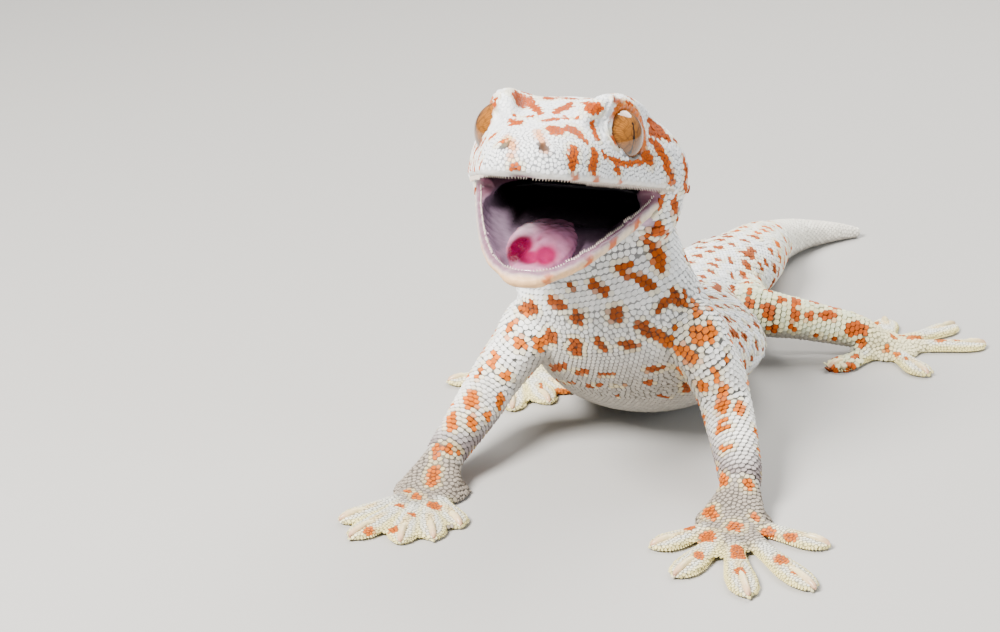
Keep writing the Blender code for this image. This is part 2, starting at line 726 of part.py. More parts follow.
def part_body(work, cutters):
    """The body's nodes: fused, parted by thin cuts and thinned."""
    body = fuse("body", body_pieces(work), BODY_VOXEL, work)
    thin(body, BODY_TRIANGLES)
    combine(body, box("ground", *GROUND, cutters), "DIFFERENCE")
    cuts = [slab("cut", *NECK_CUT, cutters), slab("cut", *CHEST_CUT, cutters)]
    cuts += [slab("cut", *cut, cutters) for cut in TAIL_CUTS]
    middle = opened(GAPE / 2)
    half = JAW_CUT_WIDTH / 2
    corner = (half, -JAW_CUT_BACK, GAP / 2)
    cuts.append(box("cut", (-half, -JAW_CUT_FRONT, -GAP / 2), corner, cutters, middle))
    cuts.append(box("cut", (-half, -JAW_CUT_BACK - GAP, -JAW_CUT_DROP), corner, cutters, middle))
    for cut in cuts:
        combine(body, cut, "DIFFERENCE")
    pieces = split(body, work)
    landmarks = dict(BODY_LANDMARKS)
    x, u, v = JAW_LANDMARK
    landmarks["lower_jaw"] = tuple(opened(GAPE) @ Vector((x, -u, v)))
    nodes = {}
    for name, landmark in landmarks.items():
        piece = nearest(pieces, landmark)
        pieces.remove(piece)
        piece.name = name
        thin(piece, TRIANGLES[name])
        nodes[name] = piece
    for piece in pieces:
        bpy.data.objects.remove(piece)
    return nodes


def finish_head(nodes, work, cutters):
    """Mouth, eye sockets, ears, nostrils and teeth, and the tongue and eyes in their places."""
    room = mouth_room("mouth_room", 0.0, cutters)
    combine(nodes["head"], room, "DIFFERENCE", keep=True)
    combine(nodes["lower_jaw"], room, "DIFFERENCE")
    place = head_matrix()
    for sign, side in ((1, "left"), (-1, "right")):
        centre, axis = eye_frame(sign)
        socket = ball("socket", centre, (EYE_RADIUS + GAP,) * 3, cutters, *SOCKET_SEGMENTS)
        combine(nodes["head"], socket, "DIFFERENCE")
        x, u, v = EAR_CENTRE
        ear = ball("ear", (x * sign, -u, v), EAR_SIZE, cutters, *EAR_SEGMENTS)
        ear.data.transform(place)
        combine(nodes["head"], ear, "DIFFERENCE")
        x, u, v = NOSTRIL_CENTRE
        nostril = ball("nostril", (x * sign, -u, v), (NOSTRIL_RADIUS,) * 3, cutters, *NOSTRIL_SEGMENTS)
        nostril.data.transform(place)
        combine(nodes["head"], nostril, "DIFFERENCE")
        eye = ball("eye_" + side, (0, 0, 0), (EYE_RADIUS,) * 3, work, *EYE_SEGMENTS)
        facing = axis.to_track_quat("Z", "Y").to_matrix().to_4x4()
        eye.data.transform(Matrix.Translation(centre) @ facing)
        nodes["eye_" + side] = eye
    upper = tooth_row(SKULL_ROWS, UPPER_LIP_REACH, place, (0, 0, -1), -TOOTH_LEVEL, work)
    join_group(nodes["head"], upper, "EXACT")
    lower = tooth_row(JAW_ROWS, LOWER_LIP_REACH, opened(GAPE), (0, 0, 1), TOOTH_LEVEL, work)
    join_group(nodes["lower_jaw"], lower, "EXACT")
    tongue = loft("tongue", head_rows(TONGUE_ROWS, TONGUE_LEVEL), work, sides=TONGUE_SIDES,
                  power=TONGUE_POWER, steps=2, place=opened(GAPE))
    combine(tongue, mouth_room("tongue_room", GAP, cutters), "INTERSECT")
    nodes["tongue"] = tongue


def toe(palm, heading, length, work):
    """A toe: slim neck, broad pad, a ridge along its middle and a small claw."""
    pieces = []

    def along(share):
        turn = math.radians(heading + math.copysign(TOE_BEND, heading) * (share - 0.5))
        return palm[0] + math.sin(turn) * length * share, palm[1] - math.cos(turn) * length * share

    pad = []
    for share, width, height in TOE_STATIONS:
        x, y = along(share)
        pad.append((x, y, TOE_LEVEL, width, height, TOE_UNDER))
    across = (-math.cos(math.radians(heading)), -math.sin(math.radians(heading)), 0.0)
    pieces.append(loft("pad", pad, work, sides=PAD_SIDES, power=PAD_POWER, side=across))
    ridge = []
    for share, width, level in RIDGE_STATIONS:
        x, y = along(share)
        ridge.append((x, y, level, width, width, width))
    pieces.append(loft("ridge", ridge, work, sides=RIDGE_SIDES, side=across))
    start = Vector((*along(CLAW_ROOT), RIDGE_STATIONS[-1][2] + CLAW_LIFT))
    tip = Vector((*along(1.0 + CLAW_LENGTH / length), CLAW_TIP_LEVEL))
    root = CLAW_RADIUS * CLAW_SWELL
    claw = [
        (*start, root, root, CLAW_RADIUS),
        (*start.lerp(tip, 0.5), *(CLAW_RADIUS,) * 3),
        (*tip, *(CLAW_RADIUS * CLAW_TAPER,) * 3),
    ]
    pieces.append(loft("claw", claw, work, sides=CLAW_SIDES, steps=2, side=across))
    return pieces


def extremity_pieces(plan, work):
    """Palm or sole, web and toes."""
    rows = [(*point, *section) for point, section in zip(plan["path"], PALM_SECTIONS)]
    direction = Vector(plan["path"][2]) - Vector(plan["path"][0])
    across = Vector((direction.y, -direction.x, 0.0)).normalized()
    pieces = [loft("palm", rows, work, sides=LIMB_SIDES, side=across)]
    palm = plan["path"][2]
    pieces.append(ball("web", (palm[0], palm[1], WEB_LEVEL), WEB_RADII, work))
    for heading, length in plan["toes"]:
        pieces += toe(palm, heading, length, work)
    return pieces


def limb_pieces(name, rows, work):
    return loft(name, [(x, y, z, r, r, r) for x, y, z, r in rows], work, sides=LIMB_SIDES)


def part_limb(lengths, extremity, joints, nodes, work, cutters):
    """A limb fused whole, parted at its joints and stood clear of the body."""
    pieces = [limb_pieces(name, LIMB_ROWS[name], work) for name in lengths]
    pieces += extremity_pieces(EXTREMITIES[extremity], work)
    limb = fuse("limb", pieces, LIMB_VOXEL, work)
    thin(limb, LIMB_TRIANGLES)
    combine(limb, box("ground", *GROUND, cutters), "DIFFERENCE")
    for (point, normal), width in zip(joints, LIMB_CUT_WIDTHS):
        combine(limb, slab("cut", point, normal, width, cutters), "DIFFERENCE")
    found = split(limb, work)
    landmarks = {name: np.array(LIMB_ROWS[name])[:, :3].mean(axis=0) for name in lengths}
    landmarks[extremity] = np.array(EXTREMITIES[extremity]["path"][2])
    for name, landmark in landmarks.items():
        piece = nearest(found, landmark)
        found.remove(piece)
        piece.name = name
        thin(piece, TRIANGLES[name.rsplit("_", 1)[0]])
        nodes[name] = piece
    for piece in found:
        bpy.data.objects.remove(piece)


def joint_plane(upper, lower):
    """The plane that halves the bend between two lengths of a limb."""
    before = Vector(LIMB_ROWS[upper][-1][:3]) - Vector(LIMB_ROWS[upper][-3][:3])
    after = Vector(LIMB_ROWS[lower][1][:3]) - Vector(LIMB_ROWS[lower][0][:3])
    return LIMB_ROWS[lower][0][:3], before.normalized() + after.normalized()


def end_plane(lower, extremity):
    path = EXTREMITIES[extremity]["path"]
    before = Vector(LIMB_ROWS[lower][-1][:3]) - Vector(LIMB_ROWS[lower][-2][:3])
    after = Vector(path[2]) - Vector(path[0])
    return LIMB_ROWS[lower][-1][:3], before.normalized() + after.normalized()


def stand_clear(node, body, cutters):
    """Cuts a limb back to just outside the surface of the body that it grows from."""
    grown = new_object("grown", body.data.copy(), cutters)
    swell = grown.modifiers.new("swell", "DISPLACE")
    swell.mid_level = 0.0
    swell.strength = GAP
    bake(grown)
    combine(node, grown, "DIFFERENCE")


def material(name, finish):
    colour, roughness = FINISHES[finish]
    result = bpy.data.materials.new(name)
    result.use_nodes = True
    shader = result.node_tree.nodes["Principled BSDF"]
    shader.inputs["Base Color"].default_value = (*colour, 1.0)
    shader.inputs["Roughness"].default_value = roughness
    shader.inputs["Metallic"].default_value = 0.0
    return result


def finish_of(name):
    if name.startswith("eye"):
        return "eye"
    if name == "tongue":
        return "tongue"
    if name == "lower_jaw":
        return "jaw_skin"
    if name.startswith(("hand", "foot")):
        return "toe_skin"
    return "skin"


def main():
    for obj in list(bpy.data.objects):
        bpy.data.objects.remove(obj)
    model = bpy.data.collections.new(MODEL_NAME)
    work = bpy.data.collections.new("work")
    cutters = bpy.data.collections.new("cutters")
    for collection in (model, work, cutters):
        bpy.context.scene.collection.children.link(collection)

    nodes = part_body(work, cutters)
    for side in ("left", "right"):
        for upper, lower, end in (("upper_arm", "forearm", "hand"), ("thigh", "shank", "foot")):
            names = (upper + "_" + side, lower + "_" + side)
            extremity = end + "_" + side
            joints = (joint_plane(*names), end_plane(names[1], extremity))
            part_limb(names, extremity, joints, nodes, work, cutters)
            for body_part in ("torso", "neck") if end == "hand" else ("torso", "tail_base"):
                stand_clear(nodes[names[0]], nodes[body_part], cutters)
                stand_clear(nodes[names[1]], nodes[body_part], cutters)
    finish_head(nodes, work, cutters)

    corners = [v.co for obj in nodes.values() for v in obj.data.vertices]
    low = [min(c[i] for c in corners) for i in range(3)]
    high = [max(c[i] for c in corners) for i in range(3)]
    shift = Matrix.Translation((-(low[0] + high[0]) / 2, -(low[1] + high[1]) / 2, 0.0))
    for name, obj in nodes.items():
        keep_largest(obj)
        obj.data.transform(Matrix.Scale(MILLIMETRE, 4) @ shift)
        obj.name = name
        obj.data.name = name
        obj.data.materials.clear()
        obj.data.materials.append(material(name, finish_of(name)))
        obj.data.shade_smooth()
        obj.data.set_sharp_from_angle(angle=math.radians(SHARP_ANGLE))
        work.objects.unlink(obj)
        model.objects.link(obj)
    for collection in (work, cutters):
        bpy.data.collections.remove(collection)


main()
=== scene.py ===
import math
from itertools import product

import bpy
import numpy as np
from mathutils import Matrix, Vector
from mathutils.bvhtree import BVHTree
from mathutils.kdtree import KDTree


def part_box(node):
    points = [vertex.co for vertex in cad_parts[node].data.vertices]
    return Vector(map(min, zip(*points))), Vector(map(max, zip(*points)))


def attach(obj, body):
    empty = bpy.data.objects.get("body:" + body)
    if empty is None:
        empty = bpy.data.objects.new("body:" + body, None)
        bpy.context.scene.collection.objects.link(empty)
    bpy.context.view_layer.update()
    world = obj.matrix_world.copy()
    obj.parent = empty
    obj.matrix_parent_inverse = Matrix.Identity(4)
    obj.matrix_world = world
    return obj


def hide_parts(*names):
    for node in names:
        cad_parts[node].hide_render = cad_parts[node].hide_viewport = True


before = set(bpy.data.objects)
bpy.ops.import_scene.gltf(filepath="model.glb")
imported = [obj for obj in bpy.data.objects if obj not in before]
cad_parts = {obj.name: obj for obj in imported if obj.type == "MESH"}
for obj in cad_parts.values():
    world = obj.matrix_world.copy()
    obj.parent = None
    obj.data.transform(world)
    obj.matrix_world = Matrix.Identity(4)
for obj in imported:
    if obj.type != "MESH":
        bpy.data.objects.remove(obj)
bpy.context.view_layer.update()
bpy.ops.object.select_all(action="DESELECT")

# Lengths in the dictionaries are millimetres on the drawing: x to its left, -y forward, z up.
mm = 0.001
perMetre = 1000
small = 0.001   # these three keep a division by zero away
tiny = 1e-9
speck = 1e-12
head = {
    "hinge": (-6.7, 1.0, 52.2), "turn": 0.7, "lean": -1.0, "nod": -18.0, "gape": 28.0,
    "eye": (9.4, -15.3, 7.2), "gaze": (0.88, -0.36, 0.12), "sight": (0.82, -0.57, -0.03),
    # forward, half width of the upper jaw and of the lower one
    "upper": ((-13, 14.8), (-8, 18.2), (-2, 19.6), (4, 18.6), (10, 16.7), (16, 14.6), (22, 12.5),
              (28, 10.5), (32, 9.2), (34.8, 7.8), (37.8, 3.5)),
    "lower": ((-9, 16.6), (-4, 18.6), (2, 18.2), (8, 16.1), (14, 14.5), (20, 12.5), (26, 10.3),
              (31, 7.9), (34.4, 5.1), (35.4, 2.4)),
}
headPlace = (Matrix.Translation(head["hinge"]) @ Matrix.Rotation(math.radians(head["turn"]), 4, "Z")
             @ Matrix.Rotation(math.radians(head["lean"]), 4, "Y")
             @ Matrix.Rotation(math.radians(head["nod"]), 4, "X"))
jawPlace = headPlace @ Matrix.Rotation(math.radians(head["gape"]), 4, "X")
headTurn = headPlace.to_3x3()


def boxMiddle(node):
    low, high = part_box(node)
    return (low + high) / 2


def mirrored(point, side):
    return Vector((point[0] * side, point[1], point[2]))


# where the drawing's zero lies in the frame, from the two eyes
drawnEyes = {side: headPlace @ mirrored(head["eye"], side) for side in (1, -1)}
origin = (boxMiddle("eye_left") + boxMiddle("eye_right")) / 2
origin -= (drawnEyes[1] + drawnEyes[-1]) / (2 * perMetre)
origin.z = 0.0
print("drawing zero", [round(value * perMetre, 3) for value in origin])


def toFrame(points):
    return np.asarray(points, float) * mm + np.array(origin)


def toDrawing(points):
    return (np.asarray(points, float) - np.array(origin)) * perMetre


def spot(point):
    return Vector(point) * mm + origin


def inside(place, points):
    turned = np.array(place.inverted())
    return points @ turned[:3, :3].T + turned[:3, 3]


def linear(red, green, blue):
    # a screen colour from 0 to 255 as light
    shades = np.array((red, green, blue), float) / 255
    return np.where(shades < 0.04045, shades / 12.92, ((shades + 0.055) / 1.055) ** 2.4)


def smoothStep(low, high, value):
    share = np.clip((value - low) / (high - low), 0, 1)
    return share * share * (3 - 2 * share)


def bell(gap, size):
    return np.exp(-(gap / size) ** 2)


def numbersOf(items, name, kind, width):
    numbers = np.empty(len(items) * width, kind)
    items.foreach_get(name, numbers)
    return numbers.reshape(-1, width)


def pointsOf(mesh):
    return numbersOf(mesh.vertices, "co", np.float32, 3).astype(float)


def normalsOf(mesh):
    return numbersOf(mesh.vertices, "normal", np.float32, 3).astype(float)


def movePoints(mesh, points):
    mesh.vertices.foreach_set("co", toFrame(points).astype(np.float32).ravel())
    mesh.update()


def addColour(mesh, name, colours):
    layer = mesh.color_attributes.new(name, "FLOAT_COLOR", "POINT")
    rows = np.ones((len(mesh.vertices), 4), np.float32)
    rows[:, :3] = colours
    layer.data.foreach_set("color", rows.ravel())


def shadeFaces(mesh, smooth):
    mesh.polygons.foreach_set("use_smooth", np.full(len(mesh.polygons), smooth))
    mesh.update()


def treeOf(places):
    tree = KDTree(len(places))
    for index, place in enumerate(places):
        tree.insert(place, index)
    tree.balance()
    return tree


def makeActive(piece):
    bpy.ops.object.select_all(action="DESELECT")
    piece.select_set(True)
    bpy.context.view_layer.objects.active = piece


def nodeCopy(node, merge=0.00001):
    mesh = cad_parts[node].data.copy()
    mesh.materials.clear()
    piece = bpy.data.objects.new("copy_" + node, mesh)
    bpy.context.scene.collection.objects.link(piece)
    makeActive(piece)
    bpy.ops.object.mode_set(mode="EDIT")
    bpy.ops.mesh.select_all(action="SELECT")
    bpy.ops.mesh.remove_doubles(threshold=merge)
    bpy.ops.object.mode_set(mode="OBJECT")
    return piece


def applied(piece, kind, **values):
    makeActive(piece)
    modifier = piece.modifiers.new("step", kind)
    for name, value in values.items():
        setattr(modifier, name, value)
    bpy.ops.object.modifier_apply(modifier=modifier.name)


# the skin: one surface round all the flesh
skinSet = {
    "grow": 0.0003, "voxel": 0.00055, "smooth": 4, "sink": -0.00046,   # metres, and rounds of smoothing
    "keep": 0.76, "socket": 4.55, "socketShift": (-0.5, 0.3, 0.5), "socketDetail": 4,
    "unwrapAngle": 1.15, "unwrapGap": 0.001,
}
fleshNodes = sorted(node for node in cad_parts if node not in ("tongue", "eye_left", "eye_right"))
copies = [nodeCopy(node) for node in fleshNodes]
for side in (1, -1):
    # a ball of flesh behind each eye, so that the socket's thin wall holds
    back = headTurn @ mirrored(skinSet["socketShift"], side)
    bpy.ops.mesh.primitive_ico_sphere_add(subdivisions=skinSet["socketDetail"], radius=skinSet["socket"] * mm,
                                          location=spot(drawnEyes[side] + back))
    copies.append(bpy.context.active_object)
makeActive(copies[0])
for copy in copies:
    copy.select_set(True)
bpy.ops.object.join()
skin = bpy.context.view_layer.objects.active
skin.name = "skin"
applied(skin, "DISPLACE", strength=skinSet["grow"], mid_level=0.0)
applied(skin, "REMESH", mode="VOXEL", voxel_size=skinSet["voxel"])
applied(skin, "SMOOTH", factor=0.5, iterations=skinSet["smooth"])
applied(skin, "DISPLACE", strength=skinSet["sink"], mid_level=0.0)
print("skin remeshed", len(skin.data.polygons))

applied(skin, "DECIMATE", ratio=skinSet["keep"])
applied(skin, "TRIANGULATE")
print("skin thinned", len(skin.data.polygons))

skinPoints = toDrawing(pointsOf(skin.data))
skinEdges = numbersOf(skin.data.edges, "vertices", np.int32, 2)
neighbourCount = np.bincount(skinEdges.ravel(), minlength=len(skinPoints)) + 1.0


def softened(values, rounds):
    # in each round a point takes the mean of itself and its neighbours
    flat = values.reshape(len(values), -1).astype(float)
    for _ in range(rounds):
        total = flat.copy()
        for column in range(flat.shape[1]):
            total[:, column] += np.bincount(skinEdges[:, 0], flat[skinEdges[:, 1], column], len(flat))
            total[:, column] += np.bincount(skinEdges[:, 1], flat[skinEdges[:, 0], column], len(flat))
        flat = total / neighbourCount[:, None]
    return flat.reshape(values.shape)


def outlineArc(rows, sideways, forwards, samples=90, tip=1.6):
    # distance from the lip's outline and how far along it from the tip of the snout
    table = np.array(rows, float)
    fine = np.linspace(0, len(table) - 1, samples)
    forward = np.interp(fine, range(len(table)), table[:, 0])
    width = np.interp(fine, range(len(table)), table[:, 1])
    forward = np.append(forward, forward[-1] + tip)
    width = np.append(width, 0.0)
    steps = np.hypot(np.diff(forward[::-1]), np.diff(width[::-1]))
    along = np.concatenate([[0], np.cumsum(steps)])[::-1]
    gap = np.hypot(np.abs(sideways)[:, None] - width, forwards[:, None] - forward)
    within = (np.abs(sideways) < np.interp(forwards, forward, width)) & (forwards < forward[-1])
    return gap.min(axis=1) * np.where(within, -1, 1), along[gap.argmin(axis=1)] * np.sign(sideways)


def partMask(among, *names):
    return np.array([label.startswith(names) for label in among])


# where each point lies: its part, its place on the head and on the jaw, and how far it is from the lips
faceNodes = []
faceMiddles = []
for node in fleshNodes:
    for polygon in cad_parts[node].data.polygons:
        faceNodes.append(node)
        faceMiddles.append(polygon.center.copy())
faceTree = treeOf(faceMiddles)
labels = np.array([faceNodes[faceTree.find(place)[1]] for place in toFrame(skinPoints)])
onHead = inside(headPlace, skinPoints)
onJaw = inside(jawPlace, skinPoints)
ahead, up = -onHead[:, 1], onHead[:, 2]
jawAhead, down = -onJaw[:, 1], onJaw[:, 2]
upperGap, upperAlong = outlineArc(head["upper"], onHead[:, 0], ahead)
lowerGap, lowerAlong = outlineArc(head["lower"], onJaw[:, 0], jawAhead)
isHead = np.isin(labels, ("head", "lower_jaw"))
isUpper = labels == "head"
isLower = labels == "lower_jaw"
eyeGap = np.minimum(*[np.linalg.norm(skinPoints - np.array(drawnEyes[side]), axis=1) for side in (1, -1)])
normals = normalsOf(skin.data)

# the mouth: its roof, floor and rear, how deep it starts behind the lips, and the web of skin in its corners
mouthSet = {"roof": 2.0, "floor": -4.6, "rear": -7, "upperDepth": -1.5, "lowerDepth": -1.15,
            "webTop": -0.5, "webFoot": 0.4, "webFacing": 0.2, "soft": 2}
forward = -normals @ np.array(headTurn)[:, 1]
web = (isHead & (up < mouthSet["webTop"]) & (down > mouthSet["webFoot"]) & (forward > mouthSet["webFacing"])
       & (np.minimum(upperGap, lowerGap) < mouthSet["upperDepth"]))
between = (up < mouthSet["roof"]) & (down > mouthSet["floor"]) & (ahead > mouthSet["rear"])
deep = (isUpper & (upperGap < mouthSet["upperDepth"])) | (isLower & (lowerGap < mouthSet["lowerDepth"]))
mouth = softened((isHead & between & deep | web).astype(float), mouthSet["soft"])
membrane = softened(web.astype(float), mouthSet["soft"])

# the lips: how far their bands reach from the outline, from where to where they stand, and where they end
lipSet = {"reach": 2.6, "upperBand": (-0.9, 0.02), "lowerBand": (-1.9, 1.35), "upperEnd": 6, "lowerEnd": 7,
          "plate": 2.15, "swell": 0.10, "groove": 0.12, "grooveEdge": (0.72, 0.98)}


def lipBand(isPart, gap, level, band, forwards, end):
    near = isPart & (np.abs(gap) < lipSet["reach"]) & (forwards > end) & (mouth < 0.5)
    return softened((near & (level > band[0]) & (level < band[1])).astype(float), mouthSet["soft"])


upperLip = lipBand(isUpper, upperGap, up, lipSet["upperBand"], ahead, lipSet["upperEnd"])
lowerLip = lipBand(isLower, lowerGap, down, lipSet["lowerBand"], jawAhead, lipSet["lowerEnd"])

# small forms pressed into the skin, and raised places of the crown: place, size and lift
formSet = {
    "nostril": (3.0, -37.3, 3.5), "nostrilSize": 0.95, "nostrilDepth": 0.95, "nostrilEdge": (1.5, 0.95),
    "nostrilRim": (0.22, 1.5, 0.45),
    "ear": (18.2, 3.4, -4.6), "earSize": (3, 0.75, 1.5), "earDepth": 1.3, "earEdge": (0.25, 0.6),
    "crown": (((5.5, -13.0, 12.5), (4.5, 4.5, 4.5), 0.7), ((7.3, -13.2, 11.8), (2.0, 4.5, 2.2), 1.3)),
}
# the folds before the eye and the warm rim behind it, each from where it begins to where it is full
foldSet = {"front": (0.25, 0.6), "out": (8.2, 7.0), "low": (-3.5, -1.5), "deep": -1.5, "depth": 0.3,
           "pitch": 6.6, "swell": 0.12, "rimLean": (0.31, 0.39), "rimOut": (6.8, 6.2),
           "rimSide": (7.8, 9.2), "rimFull": (0.3, 0.55)}
lift = np.zeros(len(skinPoints))
nostrilPart = np.zeros(len(skinPoints))
for side in (1, -1):
    gap = np.linalg.norm(onHead - np.array(mirrored(formSet["nostril"], side)), axis=1)
    nostrilPart = np.maximum(nostrilPart, smoothStep(*formSet["nostrilEdge"], gap))
    rimLift, rimAt, rimWide = formSet["nostrilRim"]
    lift += rimLift * bell(gap - rimAt, rimWide) - formSet["nostrilDepth"] * bell(gap, formSet["nostrilSize"])
for band, along in ((upperLip, upperAlong), (lowerLip, lowerAlong)):
    phase = np.abs((along / lipSet["plate"]) % 1 - 0.5) * 2
    lift += band * (lipSet["swell"] - lipSet["groove"] * smoothStep(*lipSet["grooveEdge"], phase))
foldArea, rimPart, raising, earPart = np.zeros((4, len(skinPoints)))
for side in (1, -1):
    axis = np.array(mirrored(head["gaze"], side).normalized())
    offset = onHead - np.array(mirrored(head["eye"], side))
    depth = offset @ axis
    radial = np.linalg.norm(offset - depth[:, None] * axis, axis=1)
    frontward = -offset[:, 1] / np.maximum(radial, 0.1)
    area = (smoothStep(*foldSet["front"], frontward) * smoothStep(*foldSet["out"], radial)
            * (depth > foldSet["deep"]) * isHead * smoothStep(*foldSet["low"], offset[:, 2]))
    foldArea = np.maximum(foldArea, area)
    lift += area * (foldSet["depth"] * np.sin(radial * foldSet["pitch"]) + foldSet["swell"])
    rearward = 0.5 + offset[:, 1:] @ foldSet["rimLean"] / np.maximum(radial, 0.1)
    near = smoothStep(*foldSet["rimOut"], np.linalg.norm(offset, axis=1)) * isHead
    near *= smoothStep(*foldSet["rimSide"], np.abs(onHead[:, 0]))
    rimPart = np.maximum(rimPart, near * smoothStep(*foldSet["rimFull"], rearward))
    for place, size, raised in formSet["crown"]:
        offset = onHead - np.array(mirrored(place, side))
        raising += raised * np.exp(-((offset / size) ** 2).sum(axis=1)) * isHead
    offset = onHead - np.array(mirrored(formSet["ear"], side))
    hollow = np.exp(-((offset / formSet["earSize"]) ** 2).sum(axis=1)) * isHead
    lift -= formSet["earDepth"] * hollow
    earPart = np.maximum(earPart, smoothStep(*formSet["earEdge"], hollow))

# the inside of the lower jaw swells towards its middle into a soft shelf behind the lip
shelfSet = {"swell": 1.2, "middle": (0, -14, 0), "out": (-1.0, -3.0), "in": (-7.0, -5.0), "low": (-4.8, -3.4),
            "rear": (2, 8), "soft": 5}
shelf = (isLower * smoothStep(*shelfSet["out"], lowerGap) * smoothStep(*shelfSet["in"], lowerGap)
         * smoothStep(*shelfSet["low"], down) * smoothStep(*shelfSet["rear"], jawAhead))
inward = np.array(shelfSet["middle"], float) - onJaw * (1, 1, 0)
inward /= np.linalg.norm(inward, axis=1)[:, None] + small
inward = inward @ np.array(jawPlace.to_3x3()).T
shelf = softened(shelf, shelfSet["soft"])[:, None] * shelfSet["swell"]
skyward = np.array(headTurn)[:, 2] * raising[:, None]
plainPoints = skinPoints
movePoints(skin.data, skinPoints + normals * lift[:, None] + inward * shelf + skyward)
skinPoints = toDrawing(pointsOf(skin.data))
normals = normalsOf(skin.data)
print("skin formed")

# an unwrap of the skin, which the scales' patches also use
makeActive(skin)
bpy.ops.object.mode_set(mode="EDIT")
bpy.ops.mesh.select_all(action="SELECT")
bpy.ops.uv.smart_project(angle_limit=skinSet["unwrapAngle"], island_margin=skinSet["unwrapGap"])
bpy.ops.object.mode_set(mode="OBJECT")
skin.data.uv_layers.active.name = "OFBake"
print("skin unwrapped")

# the camera of the photo, and one palm in its picture that says where the blotches below are seen from
view = {"place": (93.1, -395.2, 175.4), "turn": 16.0, "drop": 20.0, "lens": 87.7}
photo = {"middle": (500, 316), "pixels": 2436.0, "palm": (27.4, -21.0, 0.0), "palmSeen": (735, 525),
         "palmFar": 415.0}
